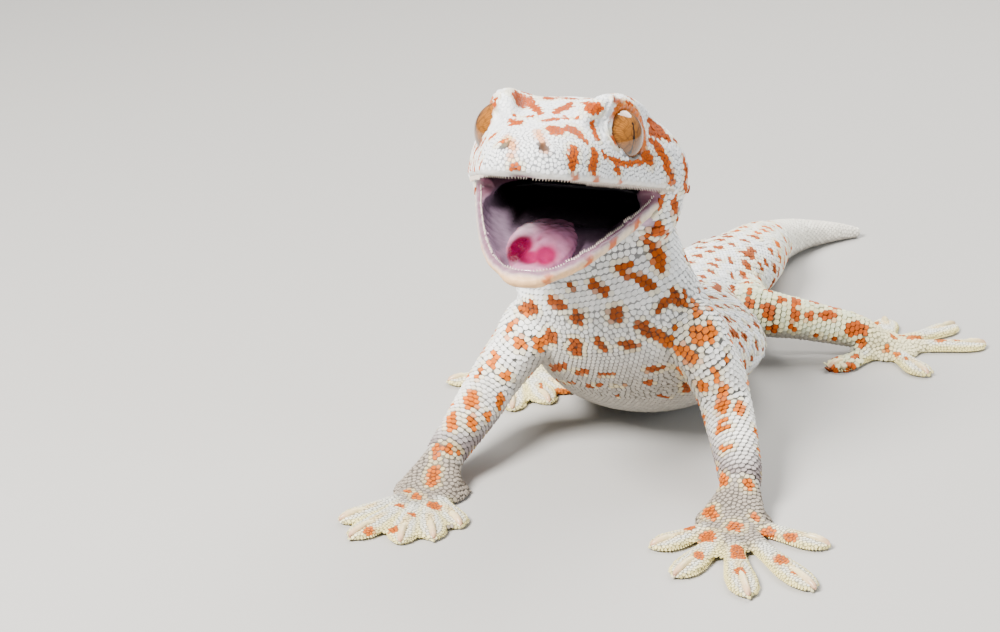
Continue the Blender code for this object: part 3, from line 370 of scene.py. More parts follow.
# blotches on the sides that show, read in the photo: both ends and the radius, in its pixels
blotches = {
    "head": (
        (521, 97, 525, 103, 4.4), (530, 105, 541, 112, 2.6), (543, 99, 545, 99, 4.2),
        (556, 97, 573, 99, 2.8), (556, 111, 572, 105, 2.8), (597, 107, 598, 107, 4.6),
        (616, 100, 618, 100, 3), (515, 114, 534, 116, 1.8), (542, 120, 558, 118, 1.5),
        (565, 117, 579, 116, 2.2), (511, 122, 521, 122, 3), (554, 129, 559, 130, 4.8),
        (570, 129, 573, 129, 4.2), (593, 127, 598, 136, 3.6), (585, 140, 587, 141, 2.6),
        (575, 149, 574, 160, 4.4), (571, 158, 573, 168, 3.6), (596, 154, 595, 164, 4.6),
        (592, 167, 594, 171, 3.4), (617, 169, 620, 172, 3), (604, 154, 613, 160, 2), (613, 160, 628, 164, 2),
        (628, 164, 640, 162, 1.9), (640, 162, 652, 159, 2), (645, 154, 650, 158, 5), (651, 131, 667, 136, 4),
        (660, 148, 667, 160, 4), (667, 160, 671, 178, 4), (649, 121, 656, 124, 3), (650, 140, 655, 141, 2),
        (686, 165, 688, 176, 3.2), (659, 127, 663, 129, 2.4),
    ),
    "crown": (
        (628, 104, 632, 108, 3.6), (588, 104, 592, 107, 5.5),
        (574, 128, 578, 133, 5.5), (552, 128, 558, 131, 4.9), (567, 129, 570, 130, 4.3),
    ),
    "temple": (
        (657, 190, 661, 206, 5.3), (648, 155, 651, 160, 5.4), (654, 131, 668, 136, 3.5),
        (675, 140, 677, 142, 2.9), (685, 160, 686, 168, 4), (686, 181, 687, 189, 4.1),
        (656, 144, 661, 152, 4.7), (661, 152, 668, 166, 4.7), (668, 166, 673, 178, 4.7),
    ),
    "jowl": (
        (634, 217, 638, 212, 3.3), (640, 226, 640, 227, 3.6), (655, 231, 660, 228, 2.9),
        (676, 197, 677, 210, 3.7), (677, 219, 677, 221, 3.5), (646, 240, 652, 246, 3.5),
        (660, 250, 664, 262, 4),
    ),
    "lower_jaw": (
        (686, 186, 687, 189, 4.2), (657, 193, 659, 208, 5), (674, 201, 675, 211, 4),
        (678, 220, 680, 223, 4.2), (631, 222, 637, 217, 5), (637, 229, 638, 229, 4.7),
        (652, 235, 659, 227, 4.4), (663, 232, 666, 236, 3.4), (655, 250, 662, 268, 5),
    ),
    "neck": (
        (617, 267, 627, 265, 3.5), (623, 272, 650, 283, 2.5), (640, 278, 652, 288, 3.2),
        (594, 284, 603, 291, 4), (571, 287, 571, 287, 3), (553, 301, 561, 306, 4.5), (616, 312, 615, 316, 6),
    ),
    "torso": (
        (524, 311, 534, 306, 5), (578, 317, 578, 319, 5.5), (673, 292, 680, 302, 4),
        (659, 309, 668, 302, 3.5), (684, 292, 686, 306, 2), (642, 326, 653, 335, 4.5),
        (660, 335, 667, 342, 4), (686, 386, 687, 388, 4.5), (576, 343, 575, 352, 5),
        (598, 341, 604, 348, 3.5), (624, 345, 634, 347, 4), (551, 368, 566, 366, 2.8),
        (576, 372, 586, 372, 2.5), (599, 375, 613, 374, 2), (648, 370, 664, 368, 3), (589, 386, 601, 385, 2),
        (644, 382, 653, 383, 2.2), (612, 386, 626, 386, 1.3), (617, 396, 618, 396, 1.5),
        (658, 396, 672, 397, 1.2), (731, 336, 737, 336, 5), (700, 288, 714, 299, 1.8),
        (718, 287, 718, 288, 4), (732, 289, 733, 289, 3), (752, 252, 752, 254, 4.5),
        (744, 275, 744, 277, 3.2), (732, 276, 733, 276, 2.5), (730, 259, 731, 260, 3),
        (741, 345, 746, 366, 1.8),
    ),
    "upper_arm_left": (
        (671, 340, 671, 341, 3.5), (676, 326, 676, 327, 2.5), (695, 333, 700, 340, 5),
        (682, 351, 692, 359, 5.5), (716, 371, 717, 378, 2.8), (701, 385, 701, 387, 4.5),
        (722, 389, 722, 391, 4), (711, 327, 711, 335, 5), (695, 303, 697, 316, 3), (710, 308, 720, 310, 2),
        (728, 350, 727, 364, 1.8),
    ),
    "forearm_left": (
        (722, 404, 722, 408, 5), (741, 403, 741, 411, 4), (723, 420, 723, 421, 3), (717, 430, 728, 426, 2.8),
        (723, 448, 723, 449, 3.5), (730, 445, 730, 446, 3), (716, 466, 717, 466, 2.5),
        (721, 480, 723, 482, 4.5),
    ),
    "hand_left": (
        (748, 482, 749, 484, 3.5), (709, 510, 709, 511, 4.5), (713, 515, 714, 516, 3),
        (735, 525, 735, 527, 4.5), (754, 516, 755, 517, 3), (769, 534, 769, 535, 5),
        (689, 527, 691, 526, 3.5), (707, 535, 707, 538, 5.5), (739, 547, 739, 554, 5),
        (740, 569, 740, 571, 3.5), (781, 556, 782, 559, 4), (796, 571, 797, 572, 2.6),
        (788, 536, 792, 536, 3.5), (699, 553, 700, 555, 3),
    ),
    "upper_arm_right": (
        (521, 342, 521, 346, 4.5), (540, 345, 552, 336, 6), (514, 322, 505, 336, 2),
        (494, 356, 492, 364, 3.2), (482, 368, 477, 376, 2.8), (505, 375, 507, 376, 4.4),
    ),
    "forearm_right": (
        (471, 394, 472, 404, 4.6), (453, 414, 452, 426, 4), (472, 420, 472, 424, 4.5),
        (488, 415, 488, 416, 3.2), (502, 398, 500, 406, 3.2), (459, 451, 459, 452, 3),
    ),
    "hand_right": (
        (448, 448, 449, 448, 3.8), (437, 446, 436, 456, 3), (435, 470, 432, 482, 4),
        (417, 495, 417, 496, 3.6), (434, 504, 435, 506, 4.4), (400, 504, 401, 505, 3),
        (409, 490, 409, 491, 2.2), (412, 513, 413, 514, 2.6), (368, 530, 370, 529, 3.4),
        (393, 528, 394, 529, 3.4),
    ),
    "shank_left": (
        (749, 289, 750, 289, 3), (749, 301, 749, 303, 3.5), (767, 308, 770, 313, 4.5),
        (780, 300, 783, 300, 3.4), (795, 302, 797, 302, 4.2), (795, 314, 795, 316, 4.5),
        (810, 315, 810, 317, 4), (823, 315, 834, 315, 3.8), (793, 328, 794, 329, 3.2),
        (816, 334, 817, 335, 2.6), (834, 337, 834, 338, 2.6), (852, 328, 862, 329, 5.5),
        (862, 343, 863, 344, 3.6), (856, 354, 856, 356, 3),
    ),
    "foot_left": (
        (876, 322, 877, 323, 2.6), (893, 335, 893, 336, 3.6), (902, 335, 903, 335, 2),
        (887, 349, 887, 350, 2.6), (896, 354, 897, 355, 2.2), (906, 357, 907, 358, 2.2),
        (910, 338, 920, 338, 3.6), (938, 339, 942, 339, 3), (956, 339, 958, 339, 2.4),
    ),
    "foot_right": (
        (541, 384, 542, 386, 2.5), (559, 391, 569, 391, 3), (558, 382, 573, 383, 1.5),
    ),
    "peach": (
        (538, 133, 545, 147, 4), (506, 138, 514, 147, 4), (510, 155, 512, 158, 2.5),
        (489, 138, 494, 136, 1.2),
    ),
}
# blotches of the crown that the photo shows only as slits: both ends and the radius on the drawing
crownRows = ((-13.2, -14.0, 69.6, -13.4, -10.5, 68.6, 1.3), (-9.6, -7.5, 68.2, -9.3, -5.5, 67.9, 0.9),
             (-6.5, -6.0, 68.3, -3.8, -5.0, 68.3, 0.8), (-2.5, -9.5, 68.6, -1.0, -11.5, 68.7, 0.6))
castSet = {
    "plain": ("crown", "temple", "jowl"),   # groups whose rows are cast as they are
    "grow": {"hand_left": 1.25, "hand_right": 1.15, "head": 1.12, "upper_arm_left": 1.08},
    "stretch": 4.0, "slack": 1.5,   # ends further apart than this lie on two forms
    "probe": 0.6, "steep": (2.04, 9), "thrice": 3.2,   # a steep surface needs more than one strip
    "upright": 1.2, "round": 0.9, "longer": 0.62, "slimmer": 0.72, "spread": 0.55, "strip": 0.62,
}
turn, drop = math.radians(view["turn"]), math.radians(view["drop"])
sightAhead = Vector((-math.sin(turn) * math.cos(drop), math.cos(turn) * math.cos(drop), -math.sin(drop)))
sightRight = Vector((math.cos(turn), math.sin(turn), 0))
sightUp = sightRight.cross(sightAhead)


def sightLine(x, y):
    across, over = x - photo["middle"][0], photo["middle"][1] - y
    return sightRight * (across / photo["pixels"]) + sightUp * (over / photo["pixels"]) + sightAhead


sightPlace = Vector(photo["palm"]) - sightLine(*photo["palmSeen"]) * photo["palmFar"]
solidPoints = []
solidFaces = []
solidNames = []
for node, piece in sorted(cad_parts.items()):
    shift = len(solidPoints)
    solidPoints.extend(toDrawing(pointsOf(piece.data)).tolist())
    for polygon in piece.data.polygons:
        solidFaces.append([shift + index for index in polygon.vertices])
        solidNames.append(node)
solidTree = BVHTree.FromPolygons(solidPoints, solidFaces)


def seenAt(x, y):
    # the place, node and distance of the solid that a pixel shows
    hit, _, face, far = solidTree.ray_cast(sightPlace, sightLine(x, y).normalized())
    return None if hit is None else (hit, solidNames[face], far)


def isSkin(found):
    return found is not None and not found[1].startswith(("eye", "tongue"))


def castEnds(x1, y1, x2, y2, radius):
    ends = [found for found in (seenAt(x1, y1), seenAt(x2, y2)) if found]
    if not any(map(isSkin, ends)):
        return []
    first, last = ends[0], ends[-1]
    scale = photo["pixels"] / first[2]
    most = castSet["stretch"] * math.hypot(x1 - x2, y1 - y2) / scale + castSet["slack"]
    if (first[0] - last[0]).length > most:
        last = first
    if not isSkin(first):
        first = last
    if not isSkin(first):
        return []
    return [(first[1], [round(float(value), 1) for value in (*first[0], *last[0], radius / scale)])]


def castRow(x1, y1, x2, y2, radius):
    x, y = (x1 + x2) / 2, (y1 + y2) / 2
    middle = seenAt(x, y)
    if not isSkin(middle) or middle[1].startswith(("hand", "foot_left")):
        return castEnds(x1, y1, x2, y2, radius)
    above, below = seenAt(x, y - castSet["probe"] * radius), seenAt(x, y + castSet["probe"] * radius)
    whole = above and below and not above[1].startswith("eye") and not below[1].startswith("eye")
    span = (above[0] - below[0]).length if whole else 0
    reach = radius * middle[2] / photo["pixels"]
    if not castSet["steep"][0] * reach < span < castSet["steep"][1] * reach:
        return castEnds(x1, y1, x2, y2, radius)
    length = math.hypot(x2 - x1, y2 - y1)
    if abs(y2 - y1) >= abs(x2 - x1) * castSet["upright"] or length < radius * castSet["round"]:
        longer = castSet["longer"] * radius * (-1 if y1 > y2 else 1)
        return castEnds(x1, y1 - longer, x2, y2 + longer, radius * castSet["slimmer"])
    count = 2 if span < castSet["thrice"] * reach else 3
    made = []
    for step in range(count):
        shift = (-castSet["spread"] + 2 * castSet["spread"] * step / (count - 1)) * radius
        made += castEnds(x1, y1 + shift, x2, y2 + shift, radius * castSet["strip"])
    return made


spotTable = list(crownRows)
peachTable = []
for group, rows in blotches.items():
    for row in rows:
        for node, made in castEnds(*row) if group in castSet["plain"] else castRow(*row):
            if group == "peach":
                peachTable.append(made)
            else:
                grow = 1.0 if group in castSet["plain"] else castSet["grow"].get(node, 1.0)
                spotTable.append((*made[:6], made[6] * grow))
print("blotches cast", len(spotTable), len(peachTable))

# blotches on the sides that don't show: a seeded draw with the spacing of those that show
lattice = {"seed": 11, "clear": 3.7, "least": 0.6, "most": 1.0, "facing": 0.15, "front": 20, "lip": 0.1,
           "under": -0.75, "plain": ("tail_middle", "tail_tip", "hand", "foot")}
towards = np.array(view["place"]) - skinPoints
towards /= np.linalg.norm(towards, axis=1)[:, None]
seen = ((normals * towards).sum(axis=1) > lattice["facing"]) & (skinPoints[:, 1] < lattice["front"])
dry = np.maximum.reduce([mouth, upperLip, lowerLip]) < lattice["lip"]
hidden = dry & ~partMask(labels, *lattice["plain"]) & ~seen & (normals[:, 2] > lattice["under"])
pen = np.random.default_rng(lattice["seed"])
taken = [Vector(row[:3]) for row in spotTable]
for index in pen.permutation(np.flatnonzero(hidden)):
    place = Vector(skinPoints[index])
    if all((place - other).length > lattice["clear"] for other in taken):
        taken.append(place)
        spotTable.append((*place, *place, pen.uniform(lattice["least"], lattice["most"])))
spotTable = np.array(spotTable)
peachTable = np.array(peachTable)
print("spots", len(spotTable))


def spotGap(points, table, wider=1.2, rim=0.06, far=9.0):
    # how far each point is from its nearest blotch, as a share of the blotch's radius
    nearest = np.full(len(points), far)
    for row in table:
        start, stretch = row[:3], row[3:6] - row[:3]
        share = np.clip(((points - start) @ stretch) / max(stretch @ stretch, tiny), 0, 1)
        gap = np.linalg.norm(points - start - share[:, None] * stretch, axis=1) / (row[6] * wider + rim)
        nearest = np.minimum(nearest, gap)
    return nearest


# toes: the palm they leave, then heading in degrees and length
toeSet = {
    "bend": 7.0, "near": 32, "low": 6, "first": 0.1, "steps": 46,
    "hand_left": ((27.2, -21.2), ((-36, 17.2), (-9, 23.4), (12, 27.8), (35, 27.4), (70, 17.4))),
    "hand_right": ((-26.2, -22.8), ((32, 15.5), (15, 19.5), (0, 21.5), (-14.5, 23), (-30, 19.5))),
    "foot_left": ((41.2, 69.6), ((-29, 17), (34, 15.5), (108, 20), (142, 20.5), (186, 16))),
    "foot_right": ((-25.7, 36.8), ((50, 13), (28, 16.5), (5, 19.5), (-19, 19.5), (-50, 15.5))),
    # share of the length and half width
    "pad": ((0.08, 2.2), (0.36, 1.85), (0.56, 2.15), (0.78, 2.9), (0.90, 2.75), (0.97, 2.0), (1.0, 0.8)),
}
toeNodes = ("hand_left", "hand_right", "foot_left", "foot_right")


def padWidth(share):
    return np.interp(share, *np.array(toeSet["pad"]).T)


def alongToe(palm, heading, length, share):
    turn = np.radians(heading + math.copysign(toeSet["bend"], heading) * (np.asarray(share) - 0.5))
    return palm[0] + np.sin(turn) * length * share, palm[1] - np.cos(turn) * length * share


def toeTerms(points):
    # for each point the share along its nearest toe, and its distance from the middle as a share of the pad
    best, shareOf, sideOf = np.full(len(points), 99.0), np.zeros(len(points)), np.full(len(points), 9.0)
    shares = np.linspace(toeSet["first"], 1.0, toeSet["steps"])
    for name in toeNodes:
        palm, rows = toeSet[name]
        away = np.hypot(points[:, 0] - palm[0], points[:, 1] - palm[1])
        close = np.flatnonzero((away < toeSet["near"]) & (points[:, 2] < toeSet["low"]))
        for heading, length in rows:
            x, y = alongToe(palm, heading, length, shares)
            gaps = np.hypot(points[close, 0][:, None] - x, points[close, 1][:, None] - y)
            nearest, gap = gaps.argmin(axis=1), gaps.min(axis=1)
            closer = gap < best[close]
            best[close[closer]] = gap[closer]
            shareOf[close[closer]] = shares[nearest[closer]]
            sideOf[close[closer]] = gap[closer] / padWidth(shares)[nearest[closer]]
    return shareOf, sideOf


# for each part: half the distance between scales, their height as a share of it, how light the painted shade
# at their feet is, how far painted shade darkens the skin between them, the base tone and the tone of the
# blotches
partSet = {
    "head": (0.35, 0.30, 0.40, 0.74, (238, 240, 242), (192, 84, 0)),
    "lower_jaw": (0.52, 0.38, 0.38, 0.78, (236, 237, 236), (184, 80, 2)),
    "neck": (0.56, 0.30, 0.46, 0.72, (236, 238, 238), (206, 98, 2)),
    "torso": (0.50, 0.42, 0.52, 0.66, (230, 232, 232), (206, 98, 2)),
    "tail_base": (0.54, 0.26, 0.58, 0.35, (232, 232, 220), (206, 98, 2)),
    "tail_middle": (0.50, 0.16, 0.80, 0.35, (236, 232, 218), (206, 98, 2)),
    "tail_tip": (0.44, 0.14, 0.84, 0.35, (236, 230, 216), (206, 98, 2)),
    "upper_arm": (0.56, 0.32, 0.30, 0.86, (244, 244, 240), (222, 112, 8)),
    "forearm": (0.54, 0.34, 0.28, 0.86, (242, 240, 234), (222, 112, 8)),
    "hand": (0.42, 0.32, 0.40, 0.7, (154, 143, 130), (204, 100, 14)),
    "thigh": (0.50, 0.42, 0.36, 0.8, (216, 220, 192), (180, 80, 2)),
    "shank": (0.54, 0.46, 0.34, 0.8, (214, 218, 184), (180, 80, 2)),
    "foot": (0.42, 0.30, 0.54, 0.6, (232, 222, 176), (200, 104, 16)),
}
tones = {
    "underShade": (172, 166, 156), "orange": (206, 98, 2), "crownSpotPaintedShade": (178, 74, 0), "brown": (154, 72, 18),
    "peach": (236, 158, 98), "ring": (232, 214, 150), "rim": (196, 98, 12), "ear": (34, 22, 18),
    "throatShade": (10, 5, 8), "gum": (190, 160, 186), "membrane": (132, 90, 106), "padMiddle": (224, 224, 212),
    "padEdge": (232, 218, 150), "padRidge": (230, 206, 150), "wrist": (104, 84, 86), "bar": (190, 88, 12),
    "upperLip": (228, 226, 220), "lowerLip": (228, 182, 132), "lipSide": (216, 198, 174),
}
tones = {name: linear(*shade) for name, shade in tones.items()}
# where each tone begins and where it is full, how strong it is, and the rounds of softening
paintSet = {
    "soft": 14, "pad": (0.34, 0.5), "padWide": 1.6, "padEdge": (0.45, 0.8), "ridgeWide": (0.34, 0.2),
    "ridge": (0.55, 0.7), "under": (0.1, 0.7), "wrist": (12.0, 6.5), "wristShare": 0.85, "blush": (1.9, 0.5),
    "blushShare": 0.95, "nostril": 0.62, "crown": 6.5, "crownFront": 6, "crownGroove": 0.35,
    "chest": (44, 34), "spotSoft": 6, "grooveSoft": 8, "lipFront": (20, 31),
}
blotchSet = {"ring": (2.1, 1.5), "ringShare": 0.45, "skinEdge": (1.12, 0.88), "scaleEdge": (1.16, 1.0),
             "middle": (0.95, 0.4), "deeper": 0.2}


def mixed(base, shade, share):
    share = np.asarray(share)[:, None]
    return base * (1 - share) + shade * share


def blotched(base, shade, gap, edge):
    # a pale ring round each blotch, then its warm tone, which is deeper in its middle
    ringed = mixed(base, tones["ring"], smoothStep(*blotchSet["ring"], gap) * blotchSet["ringShare"])
    deeper = smoothStep(*blotchSet["middle"], gap)[:, None] * blotchSet["deeper"]
    return mixed(ringed, shade * (1 - deeper), smoothStep(*edge, gap))


half, rise, footShade, groove = np.zeros((4, len(skinPoints)))
tone, spotShade = np.zeros((2, len(skinPoints), 3))
for name, (size, height, light, shown, base, blotch) in partSet.items():
    chosen = partMask(labels, name)
    half[chosen], rise[chosen], footShade[chosen], groove[chosen] = size, height, light, shown
    tone[chosen], spotShade[chosen] = linear(*base), linear(*blotch)
toeShare, toeSide = toeTerms(skinPoints)
isFoot = partMask(labels, "hand", "foot")
padPart = isFoot * smoothStep(*paintSet["pad"], toeShare) * (toeSide < paintSet["padWide"])
padTone = mixed(tones["padMiddle"], tones["padEdge"], smoothStep(*paintSet["padEdge"], toeSide))
padRidge = smoothStep(*paintSet["ridgeWide"], toeSide) * smoothStep(*paintSet["ridge"], toeShare)
tone = mixed(softened(tone, paintSet["soft"]), mixed(padTone, tones["padRidge"], padRidge), padPart)
# painted shade: the undersides of body and limbs take a darker tone where they face the floor
tone = mixed(tone, tones["underShade"], smoothStep(*paintSet["under"], -normals[:, 2]) * ~isHead * ~isFoot)
wristPart = partMask(labels, "forearm") * smoothStep(*paintSet["wrist"], skinPoints[:, 2])
tone = mixed(tone, tones["wrist"], wristPart * paintSet["wristShare"])
blush = smoothStep(*paintSet["blush"], spotGap(plainPoints, peachTable))
tone = mixed(tone, tones["peach"], blush * paintSet["blushShare"])
tone = mixed(tone, tones["rim"], rimPart)
# painted shade: the ear hollows turn near black, and the nostrils partly so, to read as dark pits
tone = mixed(tone, tones["ear"], np.maximum(earPart, nostrilPart * paintSet["nostril"]))
# painted shade: blotches on top of the head get a deeper orange, against the strong light that falls there
spotShade[isHead & (up > paintSet["crown"])] = tones["crownSpotPaintedShade"]
lowChest = smoothStep(*paintSet["chest"], skinPoints[:, 2]) * np.isin(labels, ("neck", "torso"))
spotShade += (tones["brown"] - tones["orange"]) * lowChest[:, None]
spotShade = softened(spotShade.clip(0, 1), paintSet["spotSoft"])
shown = blotched(tone, spotShade, spotGap(plainPoints, spotTable), blotchSet["skinEdge"])
# painted shade in the grooves: the skin between the scales is darkened by its part's share, much less on the
# crown's top
groove[isHead & (up > paintSet["crown"]) & (ahead > paintSet["crownFront"])] *= paintSet["crownGroove"]
groove = softened(groove, paintSet["grooveSoft"]) * (1 - upperLip - lowerLip - foldArea).clip(0, 1)
skinShade = mixed(shown * (1 - groove[:, None]), tones["upperLip"], upperLip)
lipTone = mixed(tones["lipSide"], tones["lowerLip"], smoothStep(*paintSet["lipFront"], jawAhead))
skinShade = mixed(skinShade, lipTone, lowerLip)

# warm bars on the lips: how far along from the snout's tip, half width and strength
barSet = {"upper": ((9.5, 1.0, 0.9), (15.8, 0.9, 0.9), (23.5, 0.7, 0.9), (-18.0, 0.6, 0.5)),
          "lower": ((4.0, 0.7, 0.75), (12.9, 0.95, 1.0), (19.8, 1.2, 1.0), (27.6, 1.1, 1.0),
                    (-14.0, 0.5, 0.4)),
          "ragged": 0.25, "waves": (3, 5), "edge": (1.3, 0.7), "fuller": 1.8}
waves = np.sin(skinPoints[:, 1:] @ barSet["waves"]) * barSet["ragged"]
for band, along, rows in ((upperLip, upperAlong, barSet["upper"]), (lowerLip, lowerAlong, barSet["lower"])):
    for middle, wide, strength in rows:
        outer, inner = (wide * share for share in barSet["edge"])
        bar = smoothStep(outer, inner, np.abs(along - middle) + waves) * strength
        skinShade = mixed(skinShade, tones["bar"], np.minimum(band * barSet["fuller"], 1) * bar)

# inside the mouth: gum near the lips and under the tongue, and painted shade, near black, towards the throat
gumSet = {"lower": (-6.8, -2.6), "lowerRear": (1, 9), "upper": (-3.2, -1.8), "upperRear": (22, 12),
          "upperShare": 0.5, "bed": (9, 19), "shadeSide": (-2, -7), "shadeLow": (-0.3, -1.6), "shade": 0.45}
lowerGum = smoothStep(*gumSet["lower"], lowerGap) * smoothStep(*gumSet["lowerRear"], jawAhead)
upperGum = smoothStep(*gumSet["upper"], upperGap) * smoothStep(*gumSet["upperRear"], ahead)
upperGum *= gumSet["upperShare"]
gum = np.maximum(np.where(isLower, lowerGum, upperGum), isLower * smoothStep(*gumSet["bed"], jawAhead))
shadow = smoothStep(*gumSet["shadeSide"], onJaw[:, 0]) * smoothStep(*gumSet["shadeLow"], down)
gum *= 1 - gumSet["shade"] * shadow
# painted shade: the mouth's depth takes a near-black tone, with gum over it near the lips
inner = mixed(mixed(tones["throatShade"], tones["gum"], gum), tones["membrane"], membrane)
skinShade = mixed(mixed(skinShade, inner, mouth), tones["rim"], rimPart)
addColour(skin.data, "paint", skinShade)
skin.data.attributes.new("wet", "FLOAT", "POINT").data.foreach_set("value", mouth.astype(np.float32))
shadeFaces(skin.data, True)


def paintedLook(name, mottling, sockets, bumps=None):
    # the painted colour, broken up by fine mottling on object coordinates
    material = bpy.data.materials.new(name)
    material.use_nodes = True
    nodes, links = material.node_tree.nodes, material.node_tree.links
    shader = nodes["Principled BSDF"]
    paint = nodes.new("ShaderNodeAttribute")
    paint.attribute_name = "paint"
    place = nodes.new("ShaderNodeTexCoord")
    mottle = nodes.new("ShaderNodeTexNoise")
    spread = nodes.new("ShaderNodeMapRange")
    mix = nodes.new("ShaderNodeMix")
    mix.data_type = "RGBA"
    mix.blend_type = "MULTIPLY"
    mix.inputs[0].default_value = 1.0
    low, high, size = mottling
    settings = ((mottle, {"Scale": size, "Detail": 3.0}), (shader, sockets),
                (spread, {"From Min": 0.3, "From Max": 0.7, "To Min": low, "To Max": high}))
    for made, values in settings:
        for socket, value in values.items():
            made.inputs[socket].default_value = value
    links.new(place.outputs["Object"], mottle.inputs["Vector"])
    links.new(mottle.outputs["Fac"], spread.inputs["Value"])
    links.new(paint.outputs["Color"], mix.inputs[6])
    links.new(spread.outputs["Result"], mix.inputs[7])
    links.new(mix.outputs[2], shader.inputs["Base Color"])
    if bumps:
        bump = nodes.new("ShaderNodeBump")
        bump.inputs["Strength"].default_value, bump.inputs["Distance"].default_value = bumps
        links.new(mottle.outputs[0], bump.inputs["Height"])
        links.new(bump.outputs["Normal"], shader.inputs["Normal"])
    return material


# the mottling's least, most and size, the shader's values, then the bumps' strength and distance
skinLook = paintedLook("skinLook", (0.86, 1.08, 900.0), {"Specular IOR Level": 0.4}, (0.25, 0.0002))
wet = skinLook.node_tree.nodes.new("ShaderNodeAttribute")
wet.attribute_name = "wet"
gloss = skinLook.node_tree.nodes.new("ShaderNodeMapRange")
gloss.inputs["To Min"].default_value = 0.5    # roughness of dry skin
gloss.inputs["To Max"].default_value = 0.16   # and of the wet mouth
shader = skinLook.node_tree.nodes["Principled BSDF"]
skinLook.node_tree.links.new(wet.outputs["Fac"], gloss.inputs["Value"])
skinLook.node_tree.links.new(gloss.outputs["Result"], shader.inputs["Roughness"])
skin.data.materials.append(skinLook)
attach(skin, "root")
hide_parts(*fleshNodes)
print("skin painted")

# the coat: one low six sided scale for each place, packed like the real ones
coatSet = {
    "seed": 5, "tries": 11, "hexArea": 3.464, "bare": 0.4, "fit": 0.775, "cell": 1.2, "trim": 0.97,
    "sink": 0.12, "soft": 10,
    "rounds": 8, "crowd": 7, "reach": 1.04, "push": 0.42, "pushMost": 0.5,   # how scales move apart
    "near": 9, "most": 10600, "widest": 1.55, "sameSide": 0.1, "leanLeast": 0.2,
    "shoulder": 0.86, "step": 0.78, "patch": 0.0013, "patchStep": 0.8,
    "tilt": 0.14, "limbTilt": 0.30, "widen": 0.16,
    # the last three: painted shade at each scale's shoulder, a painted highlight at its peak, and the
    # lightest a point may be
    "heights": (0.85, 1.15), "shades": (0.86, 1.1), "stepPaintedShade": 0.97, "peakPaintedHighlight": 1.10, "mostLight": 0.95,
    "knobShare": 0.10, "knobRise": 2.3, "knobReach": 1.22, "knobAhead": 7.0, "knobSize": 0.4, "knobBack": 14,
    "knobUnder": -0.25, "flowHead": (-5.5, -42.0, 54.0), "flowBody": (-5.0, 4.0, 42.0),
    "rowSpokes": 32, "rowLeast": 6, "rowApart": 1.732, "eye": 5.9, "raised": 0.35,
}
coatRegions = (
    # which points, then half the distance between scales, their height and how light the painted shade in the
    # grooves is
    (isHead & (eyeGap < 8.5), 0.30, None, None),
    (isUpper & (ahead < 9) & (up < 9), 0.46, None, None),
    (isLower & (jawAhead < 9), 0.60, None, 0.42),
    (isUpper & (ahead < 12) & (up < 8), None, None, 0.42),
    (isHead & (up > 8) & (np.abs(onHead[:, 0]) < 9), None, 0.2, 0.68),
    (padPart > 0.5, 0.30, 0.20, 0.80),
    (isHead & (ahead > 26) & (up > 1.5), None, 0.18, 0.66),
)
for chosen, *values in coatRegions:
    for field, value in zip((half, rise, footShade), values):
        if value is not None:
            field[chosen] = value
half, rise, footShade = (softened(field, coatSet["soft"]) for field in (half, rise, footShade))
aroundEye = (eyeGap < coatSet["eye"]) & (raising < coatSet["raised"])
bare = softened(np.maximum.reduce([mouth, upperLip, lowerLip, aroundEye, foldArea, nostrilPart, earPart]), 1)

triangles = numbersOf(skin.data.polygons, "vertices", np.int32, 3)
skinTree = BVHTree.FromPolygons(skinPoints.tolist(), triangles.tolist())
corners = skinPoints[triangles]
areas = np.linalg.norm(np.cross(corners[:, 1] - corners[:, 0], corners[:, 2] - corners[:, 0]), axis=1) / 2
halfOf = half[triangles].mean(axis=1)
bareOf = bare[triangles].max(axis=1)
wanted = np.where(bareOf > coatSet["bare"], 0, areas / (coatSet["hexArea"] * halfOf ** 2))
print("scales wanted", int(wanted.sum()))
pen = np.random.default_rng(coatSet["seed"])
picked = pen.choice(len(triangles), int(wanted.sum() * coatSet["tries"]), p=wanted / wanted.sum())
shares = pen.random((len(picked), 2))
flip = shares.sum(axis=1) > 1
shares[flip] = 1 - shares[flip]
tries = (corners[picked, 0] + shares[:, :1] * (corners[picked, 1] - corners[picked, 0])
         + shares[:, 1:] * (corners[picked, 2] - corners[picked, 0]))

